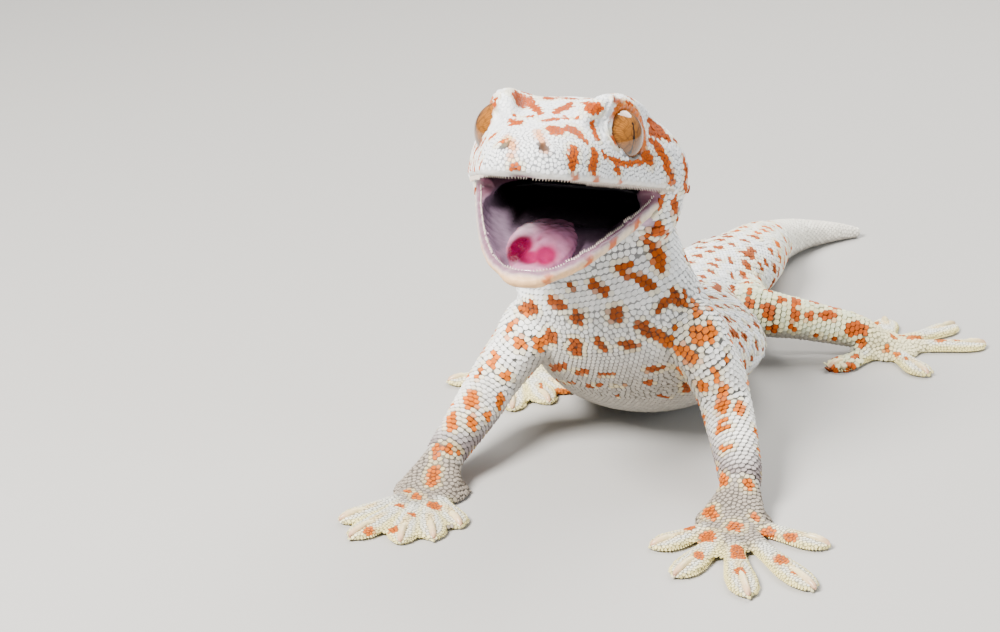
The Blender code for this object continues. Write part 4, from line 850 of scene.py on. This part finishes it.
# rows of scales round the trunk and limbs are tried first: x, y, z and a reach for each line
rowLines = {
    "spine": ((-6.2, 5.5, 47, 19), (-4, 4.5, 38.5, 20), (-1.8, 5, 30.5, 21), (0, 11, 21.8, 22),
              (0.5, 22, 14.4, 22), (1.5, 32, 10.6, 23), (1.6, 42, 8.9, 23), (0.7, 52, 8.3, 19),
              (0.7, 62, 8.1, 14), (2, 72, 8.1, 13), (4.2, 82, 8, 13), (6.6, 92, 7.6, 12), (7.6, 102, 7, 10),
              (8, 112, 5.8, 9), (9.6, 120, 4.8, 8), (12.2, 127.4, 3.9, 6), (15.8, 133.2, 3.1, 5),
              (20.2, 138, 2.3, 4)),
    "armLeft": ((12.5, 4, 26, 7.5), (15.5, 2.5, 23, 7.5), (17.2, 2.8, 20.5, 7.2), (19.4, 4.2, 15.5, 7),
                (20.4, 3.8, 12.6, 7), (22.3, -0.6, 10.4, 6.5), (24.4, -6.2, 8, 6), (26.2, -11.4, 5.9, 5.6),
                (27, -14.6, 4.5, 5.4)),
    "armRight": ((-12.5, 3, 25, 7.5), (-15.2, 2, 22.4, 7.5), (-17, 1.5, 19.8, 7.2), (-20.3, 1.4, 15, 7),
                 (-21.8, 0.3, 12.5, 6.8), (-22.8, -5, 10.2, 6.3), (-24.1, -11.5, 7.6, 5.8),
                 (-25.6, -17, 4.9, 5.4)),
    "legLeft": ((12, 70, 7.6, 7), (13.6, 64.8, 8.6, 7), (13.9, 61.8, 9, 7), (19, 62, 8.3, 6.6),
                (24.6, 63.6, 7.3, 6), (31.3, 65, 6, 5.5), (36.3, 66.6, 4.7, 5)),
    "legRight": ((-10.8, 70, 8, 7), (-14.4, 62.5, 9.2, 7), (-18.8, 56, 8, 6.6), (-22.9, 49.8, 6.3, 6),
                 (-25.6, 44.6, 4.7, 5.4)),
}
skinFinder = treeOf(skinPoints)


def castRound(centre, first, second, angle, limit):
    return skinTree.ray_cast(centre, first * math.cos(angle) + second * math.sin(angle), limit)


rowTries = []
rowHalf = []
for rows in rowLines.values():
    table = np.array(rows, float)
    steps = np.concatenate([[0], np.cumsum(np.linalg.norm(np.diff(table[:, :3], axis=0), axis=1))])
    at, odd = 0.0, 0
    while at < steps[-1]:
        centre, onward, behind = (
            Vector([np.interp(at + step, steps, table[:, column]) for column in range(3)])
            for step in (0, 1.0, -1.0))
        limit = float(np.interp(at, steps, table[:, 3]))
        axis = (onward - behind).normalized()
        first = axis.cross(Vector((0.1, 0.05, 1.0))).normalized()
        second = axis.cross(first)
        ringLength = 0
        for spoke in range(coatSet["rowSpokes"]):
            angle = spoke * math.pi / (coatSet["rowSpokes"] / 2)
            hit = castRound(centre, first, second, angle, limit)[0]
            mark = (hit - centre).length if hit is not None else limit
            ringLength += 2 * math.pi / coatSet["rowSpokes"] * mark
        sample = castRound(centre, first, second, 0, limit)[0] or centre
        size = float(half[skinFinder.find(sample)[1]])
        count = max(coatSet["rowLeast"], round(ringLength / (2 * size)))
        for spoke in range(count):
            angle = (spoke + 0.5 * odd) * 2 * math.pi / count
            hit, _, face, _ = castRound(centre, first, second, angle, limit)
            if hit is not None and bareOf[face] < coatSet["bare"]:
                rowTries.append(tuple(hit))
                rowHalf.append(float(halfOf[face]))
        at += size * coatSet["rowApart"]
        odd = 1 - odd
print("row places", len(rowTries))
tries = np.concatenate([np.array(rowTries), tries])
tryHalf = np.concatenate([np.array(rowHalf), halfOf[picked]])
cells = {}


def isFree(place, size, cell):
    for near in product(*((step - 1, step, step + 1) for step in cell)):
        for x, y, z, other in cells.get(near, ()):
            least = (size + other) * coatSet["fit"]
            if (place[0] - x) ** 2 + (place[1] - y) ** 2 + (place[2] - z) ** 2 < least * least:
                return False
    return True


chosen = []
for index, (place, size) in enumerate(zip(tries.tolist(), tryHalf.tolist())):
    cell = tuple(int(value // coatSet["cell"]) for value in place)
    if isFree(place, size, cell):
        cells.setdefault(cell, []).append((*place, size))
        chosen.append(index)
roots = tries[chosen]
rootHalf = tryHalf[chosen]
print("scales placed", len(roots))


def neighboursOf(places, count):
    tree = treeOf(places)
    return np.array([[row[1] for row in tree.find_n(place, count + 1)[1:]] for place in places], np.int32)


def nearestOnSkin(places):
    hits = [skinTree.find_nearest(place) for place in places]
    return np.array([tuple(hit[0]) for hit in hits]), np.array([hit[2] for hit in hits], np.int32)


for turn in range(coatSet["rounds"]):
    around = neighboursOf(roots, coatSet["crowd"])
    apart = roots[:, None] - roots[around]
    length = np.linalg.norm(apart, axis=2) + tiny
    target = (rootHalf[:, None] + rootHalf[around]) * coatSet["reach"]
    push = np.clip(target - length, 0, None) * coatSet["push"]
    moves = (apart / length[:, :, None] * push[:, :, None]).sum(axis=1)
    limit = np.linalg.norm(moves, axis=1) + tiny
    moves *= np.minimum(1, coatSet["pushMost"] * rootHalf / limit)[:, None]
    settled, faceOf = nearestOnSkin(roots + moves)
    roots = np.where((bareOf[faceOf] > coatSet["bare"])[:, None], roots, settled)
print("scales settled")


def cornerWeights(points, corner):
    # the shares of a triangle's three corners in a point on it
    edgeOne, edgeTwo = corner[:, 1] - corner[:, 0], corner[:, 2] - corner[:, 0]
    offset = points - corner[:, 0]
    oneOne, oneTwo, twoTwo, reachOne, reachTwo = (
        (first * second).sum(axis=1) for first, second in
        ((edgeOne, edgeOne), (edgeOne, edgeTwo), (edgeTwo, edgeTwo), (offset, edgeOne), (offset, edgeTwo)))
    area = oneOne * twoTwo - oneTwo ** 2 + speck
    shareOne = (twoTwo * reachOne - oneTwo * reachTwo) / area
    shareTwo = (oneOne * reachTwo - oneTwo * reachOne) / area
    weights = np.stack([1 - shareOne - shareTwo, shareOne, shareTwo], axis=1).clip(0, 1)
    return weights / weights.sum(axis=1)[:, None]


faceOf = nearestOnSkin(roots)[1]
weights = cornerWeights(roots, corners[faceOf])


def blended(values):
    return (values[triangles[faceOf]] * weights.reshape(-1, 3, *[1] * (values.ndim - 1))).sum(axis=1)


rootNormal = blended(normals)
rootNormal /= np.linalg.norm(rootNormal, axis=1)[:, None]
rootFootShade = blended(footShade)
rootLabel = labels[triangles[faceOf, 0]]
unwrap = numbersOf(skin.data.uv_layers["OFBake"].data, "uv", np.float32, 2).reshape(-1, 3, 2)
rootPatch = (unwrap[faceOf] * weights[:, :, None]).sum(axis=1)

# each scale's six corners reach halfway to its neighbours
scaleSides = 6
around = neighboursOf(roots, coatSet["near"])
upward = np.where(np.abs(rootNormal[:, 2:]) > 0.9, np.array([[0.0, 1.0, 0.0]]), np.array([[0.0, 0.0, 1.0]]))
sideOne = np.cross(upward, rootNormal)
sideOne /= np.linalg.norm(sideOne, axis=1)[:, None]
sideTwo = np.cross(rootNormal, sideOne)
apart = roots[around] - roots[:, None]
angles = np.arctan2((apart * sideTwo[:, None]).sum(axis=2), (apart * sideOne[:, None]).sum(axis=2))
same = (rootNormal[around] * rootNormal[:, None]).sum(axis=2) > coatSet["sameSide"]
order = (np.exp(1j * scaleSides * angles[:, :scaleSides]) * same[:, :scaleSides]).sum(axis=1)
turns = (np.angle(order) / scaleSides + math.pi / 6)[:, None] + np.arange(scaleSides) * math.pi / 3
bound = np.linalg.norm(apart, axis=2) * rootHalf[:, None] / (rootHalf[:, None] + rootHalf[around])
lean = np.cos(turns[:, :, None] - angles[:, None])
reach = bound[:, None] / np.maximum(lean, coatSet["leanLeast"])
reach = np.where((lean > coatSet["leanLeast"]) & same[:, None], reach, 9.0).min(axis=2)
reach = np.minimum(reach, rootHalf[:, None] * coatSet["widest"]) * coatSet["trim"]
outward = np.cos(turns)[:, :, None] * sideOne[:, None] + np.sin(turns)[:, :, None] * sideTwo[:, None]
pen = np.random.default_rng(coatSet["seed"] + 1)
height = (rootHalf * blended(rise) * pen.uniform(*coatSet["heights"], len(roots)))[:, None]
# some scales on the back, flanks and hind legs are bigger knobs
onHeadToo = np.isin(rootLabel, ("head", "lower_jaw"))
knobbed = partMask(rootLabel, "torso", "tail_base", "thigh", "shank")
knobbed &= (roots[:, 1] > coatSet["knobBack"]) & (rootNormal[:, 2] > coatSet["knobUnder"])
knobbed |= onHeadToo & (blended(ahead) < coatSet["knobAhead"]) & (rootHalf > coatSet["knobSize"])
knobbed &= pen.random(len(roots)) < coatSet["knobShare"]
height[knobbed] *= coatSet["knobRise"]
reach[knobbed] *= coatSet["knobReach"]
# each scale leans a little, its free edge away from the head
flow = roots - np.where(onHeadToo[:, None], np.array(coatSet["flowHead"]), np.array(coatSet["flowBody"]))
flow -= (flow * rootNormal).sum(axis=1)[:, None] * rootNormal
flow /= np.linalg.norm(flow, axis=1)[:, None] + small
onLimb = partMask(rootLabel, "upper", "forearm", "thigh", "shank", "neck")
lengthwise = (outward * flow[:, None]).sum(axis=2)
reach *= 1 + coatSet["widen"] * (onLimb & ~knobbed)[:, None] * (1 - lengthwise ** 2)
leanBy = np.where(onLimb, coatSet["limbTilt"], coatSet["tilt"]) * ~knobbed
tilt = lengthwise * reach * leanBy[:, None]
foot = roots[:, None] + outward * reach[:, :, None] - rootNormal[:, None] * coatSet["sink"]
shoulder = (roots[:, None] + outward * (reach * coatSet["shoulder"])[:, :, None]
            + rootNormal[:, None] * (height * coatSet["step"] + tilt)[:, :, None])
peak = roots + rootNormal * height
gap = spotGap(blended(plainPoints), spotTable)
rootShade = blotched(blended(tone), blended(spotShade), gap, blotchSet["scaleEdge"])
rootShade = rootShade * pen.uniform(*coatSet["shades"], (len(roots), 1))
coatLook = paintedLook("coatLook", (0.88, 1.08, 1500.0), {"Roughness": 0.62, "Specular IOR Level": 0.22},
                       (0.2, 0.0001))


def coatPiece(name, members):
    # each scale has a ring of points at its foot, one at its shoulder, and its peak, with painted shade at
    # the foot and a painted highlight at the peak
    count, each = len(members), 2 * scaleSides + 1
    shade = rootShade[members][:, None]
    rings = np.concatenate([foot[members], shoulder[members], peak[members][:, None]], axis=1)
    shades = np.concatenate([np.repeat(shade * rootFootShade[members, None, None], scaleSides, axis=1),
                             np.repeat(shade * coatSet["stepPaintedShade"], scaleSides, axis=1),
                             shade * coatSet["peakPaintedHighlight"]], axis=1).clip(0, coatSet["mostLight"])
    spread = np.stack([np.cos(turns[members]), np.sin(turns[members])], axis=2) * coatSet["patch"]
    patch = np.concatenate([spread, spread * coatSet["patchStep"], np.zeros((count, 1, 2))], axis=1)
    patch += rootPatch[members][:, None]
    pairs = [(side, (side + 1) % scaleSides) for side in range(scaleSides)]
    walls = [(side, after, scaleSides + after, scaleSides + side) for side, after in pairs]
    tops = [(scaleSides + side, scaleSides + after, each - 1) for side, after in pairs]
    one = np.array([corner for face in walls + tops for corner in face])
    sizes = [len(face) for face in walls + tops]
    loops = (one[None] + np.arange(count)[:, None] * each).ravel()
    starts = np.concatenate([[0], np.cumsum(np.tile(sizes, count))[:-1]])
    mesh = bpy.data.meshes.new(name)
    mesh.vertices.add(count * each)
    mesh.loops.add(len(loops))
    mesh.loops.foreach_set("vertex_index", loops.astype(np.int32))
    mesh.polygons.add(count * len(sizes))
    mesh.polygons.foreach_set("loop_start", starts.astype(np.int32))
    movePoints(mesh, rings.reshape(-1, 3))
    mesh.update(calc_edges=True)
    shadeFaces(mesh, True)
    ends = numbersOf(mesh.edges, "vertices", np.int32, 2) % each
    crisp = mesh.attributes.new("sharp_edge", "BOOLEAN", "EDGE")
    crisp.data.foreach_set("value", ((ends >= scaleSides) & (ends < each - 1)).all(axis=1))
    layer = mesh.uv_layers.new(name="OFBake")
    layer.data.foreach_set("uv", patch.reshape(-1, 2)[loops].astype(np.float32).ravel())
    addColour(mesh, "paint", shades.reshape(-1, 3))
    mesh.materials.append(coatLook)
    piece = bpy.data.objects.new(name, mesh)
    bpy.context.scene.collection.objects.link(piece)
    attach(piece, "root")


for group in (("head",), ("lower_jaw",), ("neck",), ("torso",), ("upper_arm", "forearm"), ("hand",),
              ("thigh", "shank"), ("foot",), ("tail",)):
    members = np.flatnonzero(partMask(rootLabel, *group))
    parts = math.ceil(len(members) / coatSet["most"])
    for part in range(parts):
        coatPiece(f"scales_{group[0]}_{part + 1}", members[part::parts])
        print("scales", group[0], part + 1, len(members[part::parts]))


def eyeAxes(way, side):
    axis = (headTurn @ mirrored(way, side)).normalized()
    tall = headTurn @ Vector((0, 0, 1))
    tall = (tall - axis * tall.dot(axis)).normalized()
    return axis, tall, tall.cross(axis)


# the eyes: a brown iris with fibres and veins, a beaded slit, and painted shade under the lids
eyeSet = {
    "radius": 5.2, "segments": 160, "rings": 96, "iris": (130, 79, 23), "lighter": 0.10, "upMost": 4,
    "fibres": (46, 3.1, 2.0), "fibreDark": 0.72, "fibreLight": 0.5, "vein": (0.25, 0.05), "veinDark": 0.4,
    "slitWidth": 0.10, "slitBeads": 0.16, "beadWaves": 2.6, "slitBend": 0.05, "bendWaves": 1.7,
    "slitEdge": (0.06, -0.02), "slitEnd": (2.9, 2.5), "slit": (12, 8, 6), "lidEdge": (3.1, 2.4),
    "lidPaintedShade": 0.7, "veinWaves": ((2.3, 1.7, 1.3), (2.1, 2.6, 1.0)),
}
eyeLook = paintedLook("eyeLook", (0.9, 1.1, 2500.0),
                      {"Roughness": 0.08, "Coat Weight": 1.0, "Coat Roughness": 0.02})
for side, ending in ((1, "left"), (-1, "right")):
    axis, tall, wide = eyeAxes(head["sight"], side)
    bpy.ops.mesh.primitive_uv_sphere_add(segments=eyeSet["segments"], ring_count=eyeSet["rings"],
                                         radius=eyeSet["radius"] * mm, location=(0, 0, 0))
    eye = bpy.context.active_object
    eye.name = "ball_" + ending
    turned = Matrix((wide, tall, axis)).transposed().to_4x4()
    eye.data.transform(Matrix.Translation(spot(drawnEyes[side])) @ turned)
    places = toDrawing(pointsOf(eye.data)) - np.array(drawnEyes[side])
    across, upright = places @ np.array(wide), places @ np.array(tall)
    most = eyeSet["upMost"]
    iris = linear(*eyeSet["iris"]) * (1 + eyeSet["lighter"] * upright[:, None].clip(-most, most))
    count, waves, swing = eyeSet["fibres"]
    fibres = np.sin(np.arctan2(upright, across) * count + np.sin(np.hypot(across, upright) * waves) * swing)
    iris = iris * (eyeSet["fibreDark"] + eyeSet["fibreLight"] * (0.5 + 0.5 * fibres[:, None]))
    (pitch, waves, swing), (pitchTwo, wavesTwo, swingTwo) = eyeSet["veinWaves"]
    veins = np.sin(across * pitch + np.sin(upright * waves) * swing)
    veins = np.abs(veins * np.sin(upright * pitchTwo + np.sin(across * wavesTwo) * swingTwo))
    iris = iris * (1 - eyeSet["veinDark"] * smoothStep(*eyeSet["vein"], veins)[:, None])
    beads = np.maximum(0, np.cos(upright * eyeSet["beadWaves"])) ** 4
    slit = (eyeSet["slitWidth"] + eyeSet["slitBeads"] * beads
            + eyeSet["slitBend"] * np.sin(upright * eyeSet["bendWaves"]))
    pupil = smoothStep(*eyeSet["slitEdge"], np.abs(across) - slit)
    iris = mixed(iris, linear(*eyeSet["slit"]), pupil * smoothStep(*eyeSet["slitEnd"], np.abs(upright)))
    # painted shade: the iris darkens towards the lids, where they overhang it
    lidGap = places @ np.array(headTurn @ mirrored(head["gaze"], side).normalized())
    iris = iris * (1 - smoothStep(*eyeSet["lidEdge"], lidGap)[:, None] * eyeSet["lidPaintedShade"])
    addColour(eye.data, "paint", iris)
    shadeFaces(eye.data, True)
    eye.data.materials.append(eyeLook)
    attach(eye, "root")
    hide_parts("eye_" + ending)
print("eyes made")


def pieceFrom(name, points, faces, shades, material, smooth=True):
    mesh = bpy.data.meshes.new(name)
    mesh.from_pydata([tuple(place) for place in toFrame(points)], [], faces)
    mesh.update()
    addColour(mesh, "paint", shades)
    shadeFaces(mesh, smooth)
    mesh.materials.append(material)
    piece = bpy.data.objects.new(name, mesh)
    bpy.context.scene.collection.objects.link(piece)
    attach(piece, "root")


def tubeAround(centres, outs, rising, radii, sides, closed):
    points = []
    faces = []
    for centre, out, radius in zip(centres, outs, radii):
        for corner in range(sides):
            angle = corner * 2 * math.pi / sides
            points.append(centre + (out * math.cos(angle) + rising * math.sin(angle)) * radius)
    count = len(centres)
    for ring in range(count if closed else count - 1):
        here, there = ring * sides, (ring + 1) % count * sides
        for corner in range(sides):
            after = (corner + 1) % sides
            faces.append((here + corner, there + corner, there + after, here + after))
    return points, faces


def flipped(faces, wrongWay):
    return [tuple(reversed(face)) if wrongWay else tuple(face) for face in faces]


# eyelid rims: a beaded roll that hugs each eye, orange over the top and behind, white in front
rimSet = {"reach": 2.3, "radius": 5.0, "thick": 0.78, "beads": 26, "steps": 208, "sides": 10, "least": 0.74,
          "bead": 0.22, "behind": 0.12, "turn": 0.9, "edge": (0.2, 0.5), "beadHeat": (0.8, 0.2),
          "warm": (204, 102, 16), "cool": (226, 224, 216)}
rimLook = paintedLook("rimLook", (0.88, 1.08, 1800.0), {"Roughness": 0.4})
for side, ending in ((1, "left"), (-1, "right")):
    axis, tall, rear = eyeAxes(head["gaze"], side)
    rear *= side
    centres, outs, radii, heats = [], [], [], []
    for step in range(rimSet["steps"]):
        angle = step * 2 * math.pi / rimSet["steps"]
        out = rear * math.cos(angle) + tall * math.sin(angle)
        bead = abs(math.sin(angle * rimSet["beads"] / 2))
        behind = 0.5 + 0.5 * math.cos(angle - rimSet["turn"])
        thick = rimSet["least"] + rimSet["bead"] * bead * behind + rimSet["behind"] * behind
        radii.append(rimSet["thick"] * thick)
        centres.append(np.array(drawnEyes[side] + axis * rimSet["reach"] + out * rimSet["radius"]))
        outs.append(np.array(out))
        least, more = rimSet["beadHeat"]
        heats += [float(smoothStep(*rimSet["edge"], behind)) * (least + more * bead)] * rimSet["sides"]
    points, faces = tubeAround(centres, outs, np.array(axis), radii, rimSet["sides"], True)
    shades = mixed(linear(*rimSet["cool"]), linear(*rimSet["warm"]), heats)
    pieceFrom("lid_" + ending, points, flipped(faces, side < 0), shades, rimLook)
print("lids made")

# the tongue: the solid's own shape, smoothed, with lobes, a deep pink crease and painted shade over its back
tongueSet = {
    "voxel": 0.00028, "smooth": 8, "lobe": 0.5, "crease": 0.75, "sink": 0.3, "shift": (-1.3, -0.6, -0.9),
    # across and forward as shares, their half sizes, and strength
    "hollows": ((-0.48, 0.68, 0.44, 0.20, 1.0), (-0.05, 0.80, 0.50, 0.11, 0.8),
                (0.34, 0.76, 0.40, 0.14, 0.85), (0.0, 0.55, 0.12, 0.12, 0.4)),
    "lobes": ((-0.50, 0.34, 0.34, 0.20), (0.45, 0.48, 0.36, 0.22)), "second": 0.7,
    "ridge": 0.10, "ridgeWaves": (2.3, 1.9, 1.4),
    "backShade": (70, 30, 50), "backShadeEdge": (0.26, 0.02), "backShadeShare": 0.7,
    "pink": (186, 122, 152), "pale": (220, 192, 204), "paleShare": 0.85,
    "deep": (84, 2, 34), "hot": (150, 30, 80), "hotEdge": (0.15, 0.62), "deepEdge": (0.1, -0.4),
}
tongue = nodeCopy("tongue")
tongue.name = "tongue_flesh"
applied(tongue, "REMESH", mode="VOXEL", voxel_size=tongueSet["voxel"])
applied(tongue, "SMOOTH", factor=0.5, iterations=tongueSet["smooth"])
places = toDrawing(pointsOf(tongue.data))
within = inside(jawPlace, places)
least, most = within.min(axis=0), within.max(axis=0)
sideShare = (within[:, 0] - (least[0] + most[0]) / 2) / (most[0] - least[0]) * 2
frontShare = (most[1] - within[:, 1]) / (most[1] - least[1])


def onTongue(sideways, forward, wide, deep):
    return np.exp(-((sideShare - sideways) / wide) ** 2 - ((frontShare - forward) / deep) ** 2)


hollowPart = np.maximum.reduce([onTongue(*place) * amount for *place, amount in tongueSet["hollows"]])
lobePart, lobeTwo = (onTongue(*place) for place in tongueSet["lobes"])
pitch, waves, swing = tongueSet["ridgeWaves"]
ridges = tongueSet["ridge"] * np.sin(within[:, 0] * pitch + np.sin(within[:, 1] * waves) * swing)
lift = tongueSet["lobe"] * (lobePart + tongueSet["second"] * lobeTwo + ridges)
lift -= tongueSet["crease"] * hollowPart + tongueSet["sink"]
places += normalsOf(tongue.data) * lift[:, None] + np.array(jawPlace.to_3x3() @ Vector(tongueSet["shift"]))
movePoints(tongue.data, places)
pink = mixed(linear(*tongueSet["pink"]), linear(*tongueSet["pale"]), lobePart * tongueSet["paleShare"])
deepPart = smoothStep(*tongueSet["deepEdge"], sideShare)
deep = mixed(linear(*tongueSet["hot"]), linear(*tongueSet["deep"]), deepPart)
pink = mixed(pink, deep, smoothStep(*tongueSet["hotEdge"], hollowPart))
# painted shade: the back of the tongue turns dark
backShade = smoothStep(*tongueSet["backShadeEdge"], frontShare) * tongueSet["backShadeShare"]
addColour(tongue.data, "paint", mixed(pink, linear(*tongueSet["backShade"]), backShade))
shadeFaces(tongue.data, True)
tongueLook = paintedLook("tongueLook", (0.9, 1.08, 900.0), {
    "Roughness": 0.2, "Coat Weight": 0.8, "Coat Roughness": 0.06, "Subsurface Weight": 0.15,
    "Subsurface Scale": 0.002}, (0.35, 0.0002))
tongue.data.materials.append(tongueLook)
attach(tongue, "root")
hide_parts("tongue")
print("tongue made", len(tongue.data.polygons))

# small teeth along both lips
toothSet = {
    "apart": 0.54, "size": 0.16, "sides": 5, "run": 46, "search": 1.5, "near": 0.75, "sink": 0.12,
    "lean": 0.12, "onward": 0.1, "rear": 0.22, "rearFrom": 31,
    "least": 0.3, "band": (-1.6, 0.8), "samples": 400, "shade": (214, 200, 186),
    # for each jaw: level, way, height and how far in from the lip
    "upper": (-0.5, -1, 0.52, 0.45), "lower": (-0.1, 1, 0.3, 0.95),
}
toothLook = paintedLook("toothLook", (0.92, 1.05, 2500.0), {"Roughness": 0.25})
points = []
faces = []
for jaw, place, part, gap in (("upper", headPlace, isUpper, upperGap),
                              ("lower", jawPlace, isLower, lowerGap)):
    level, way, tallness, inset = toothSet[jaw]
    least, most = toothSet["band"]
    lipEdge = inside(place, skinPoints[part & (gap > least) & (gap < most)])
    lipEdge = lipEdge[np.abs(lipEdge[:, 2] - level) < toothSet["search"]]
    table = np.array((*head[jaw], (head[jaw][-1][0] + 0.1, 0.0)), float)
    fine = np.linspace(0, len(table) - 1, toothSet["samples"])
    forward, width = (np.interp(fine, range(len(table)), table[:, column]) for column in range(2))
    length = np.concatenate([[0], np.cumsum(np.hypot(np.diff(forward), np.diff(width)))])
    marks = np.arange(length[-1] - toothSet["run"], length[-1], toothSet["apart"])
    for mark, side in product(marks, (1, -1)):
        out = float(np.interp(mark, length, forward))
        across = max(float(np.interp(mark, length, width)) - inset, toothSet["least"])
        base = Vector((side * across, -(out - 0.5 * inset), level))
        close = np.hypot(lipEdge[:, 0] - base.x, lipEdge[:, 1] - base.y) < toothSet["near"]
        if not close.any():
            continue
        base.z = way * (lipEdge[close, 2] * way).max() - way * toothSet["sink"]
        first = len(points)
        for corner in range(toothSet["sides"]):
            angle = corner * 2 * math.pi / toothSet["sides"]
            points.append(place @ (base + Vector((math.cos(angle), math.sin(angle), 0)) * toothSet["size"]))
        height = tallness + (toothSet["rear"] if out < toothSet["rearFrom"] else 0)
        points.append(place @ (base + Vector((-side * toothSet["lean"], toothSet["onward"], way * height))))
        ring = range(first, len(points) - 1)
        walls = [(corner, first + (corner - first + 1) % toothSet["sides"], len(points) - 1)
                 for corner in ring]
        faces += flipped([*walls, tuple(reversed(ring))], way < 0)
pieceFrom("teeth", np.array(points), faces, linear(*toothSet["shade"]), toothLook, False)
print("teeth made")

# claws, each a ridge along its toe, and the fringe of lamellae round each toe pad
clawSet = {
    "length": 0.6, "sides": 8,
    # share of the toe, and of the claw beyond it, then height, radius and shade
    "stations": ((0.76, 0, 1.45, 0.45, (232, 218, 168)), (0.86, 0, 1.80, 0.58, (232, 214, 162)),
                 (0.95, 0, 1.55, 0.60, (226, 200, 154)), (1.0, 0.3, 1.2, 0.5, (214, 176, 138)),
                 (1.0, 1, 0.85, 0.2, (196, 150, 122))),
}
fringeSet = {"apart": 0.5, "half": 0.14, "out": 0.66, "part": 0.58, "from": 0.42, "along": 0.57,
             "level": 0.75, "inset": 0.75, "onward": 0.12, "drop": 0.2, "top": 0.30, "bottom": 0.35,
             "tip": 0.6, "ahead": 0.01, "shade": (236, 222, 156),
             "faces": ((4, 5, 1, 0), (5, 2, 1), (5, 4, 3, 2), (4, 0, 3), (0, 1, 2, 3))}
clawLook = paintedLook("clawLook", (0.9, 1.06, 1500.0), {"Roughness": 0.3})
clawPoints, clawFaces, clawShades, fringePoints, fringeFaces = [], [], [], [], []
for name in toeNodes:
    palm, rows = toeSet[name]
    for heading, length in rows:
        centres = []
        for share, beyond, level, radius, shade in clawSet["stations"]:
            x, y = alongToe(palm, heading, length, share + beyond * clawSet["length"] / length)
            centres.append(np.array((float(x), float(y), level)))
            clawShades += [linear(*shade)] * clawSet["sides"]
        across = np.array((math.cos(math.radians(heading)), math.sin(math.radians(heading)), 0))
        radii = [row[3] for row in clawSet["stations"]]
        got, made = tubeAround(centres, [across] * len(centres), np.array((0, 0, 1.0)), radii,
                               clawSet["sides"], False)
        shift = len(clawPoints)
        clawPoints += got
        clawFaces += flipped([[shift + corner for corner in face] for face in made], True)
        clawFaces.append(tuple(range(shift, shift + clawSet["sides"])))
        clawFaces.append(tuple(reversed(range(len(clawPoints) - clawSet["sides"], len(clawPoints)))))
        count = int(length * fringeSet["part"] / fringeSet["apart"])
        for step, side in product(range(count), (1, -1)):
            share = fringeSet["from"] + fringeSet["along"] * step / count
            x, y = alongToe(palm, heading, length, share)
            x2, y2 = alongToe(palm, heading, length, share + fringeSet["ahead"])
            way = np.array((float(x2 - x), float(y2 - y), 0))
            way /= np.linalg.norm(way)
            out = np.array((-way[1], way[0], 0)) * side
            root = np.array((float(x), float(y), fringeSet["level"]))
            root += out * (padWidth(share) - fringeSet["inset"])
            tip = root + out * fringeSet["out"] + way * fringeSet["onward"] - (0, 0, fringeSet["drop"])
            wide, top, bottom = way * fringeSet["half"], (0, 0, fringeSet["top"]), (0, 0, fringeSet["bottom"])
            made = [[len(fringePoints) + corner for corner in face] for face in fringeSet["faces"]]
            fringeFaces += flipped(made, side < 0)
            fringePoints += [root - wide + top, root + wide + top, root + wide - bottom, root - wide - bottom,
                             tip - wide * fringeSet["tip"], tip + wide * fringeSet["tip"]]
pieceFrom("claws", np.array(clawPoints), clawFaces, clawShades, clawLook)
pieceFrom("toe_fringe", np.array(fringePoints), fringeFaces, linear(*fringeSet["shade"]), clawLook,
          False)
print("claws made")

# floor, lights and camera
stageSet = {"floor": 6.0, "shade": (176, 174, 170), "aim": (0, 10, 30), "sky": (0.80, 0.84, 0.88, 1),
            "skyStrength": 0.30, "sensor": 36, "nearest": 0.01}
bpy.ops.mesh.primitive_plane_add(size=stageSet["floor"], location=(0, 0, 0))
floor = bpy.context.active_object
floor.name = "floor"
floorLook = bpy.data.materials.new("floorLook")
floorLook.use_nodes = True
shader = floorLook.node_tree.nodes["Principled BSDF"]
shader.inputs["Base Color"].default_value = (*linear(*stageSet["shade"]), 1)
shader.inputs["Roughness"].default_value = 0.7
floor.data.materials.append(floorLook)

lights = (
    # name, place on the drawing, size, watts, colour
    ("key", (-265, -410, 530), 0.28, 20.5, (1.0, 0.975, 0.94)),
    ("fill", (640, -60, 220), 0.5, 3.0, (0.94, 0.97, 1.0)),
    ("rim", (60, 420, 480), 0.5, 6.0, (1.0, 0.98, 0.95)),
)
for name, place, size, power, shade in lights:
    bpy.ops.object.light_add(type="AREA", location=spot(place))
    lamp = bpy.context.active_object
    lamp.name = name
    lamp.data.shape = "DISK"
    lamp.data.size = size
    lamp.data.energy = power
    lamp.data.color = shade
    lamp.visible_glossy = name != "fill"
    lamp.rotation_mode = "QUATERNION"
    lamp.rotation_quaternion = (spot(stageSet["aim"]) - lamp.location).to_track_quat("-Z", "Y")
world = bpy.data.worlds.new("studio")
bpy.context.scene.world = world
world.use_nodes = True
world.node_tree.nodes["Background"].inputs["Color"].default_value = stageSet["sky"]
world.node_tree.nodes["Background"].inputs["Strength"].default_value = stageSet["skyStrength"]

bpy.ops.object.camera_add(location=spot(view["place"]))
camera = bpy.context.active_object
camera.name = "camera"
camera.rotation_euler = (math.radians(90 - view["drop"]), 0, math.radians(view["turn"]))
camera.data.lens = view["lens"]
camera.data.sensor_width = stageSet["sensor"]
camera.data.clip_start = stageSet["nearest"]
bpy.context.scene.camera = camera
print("stage set")
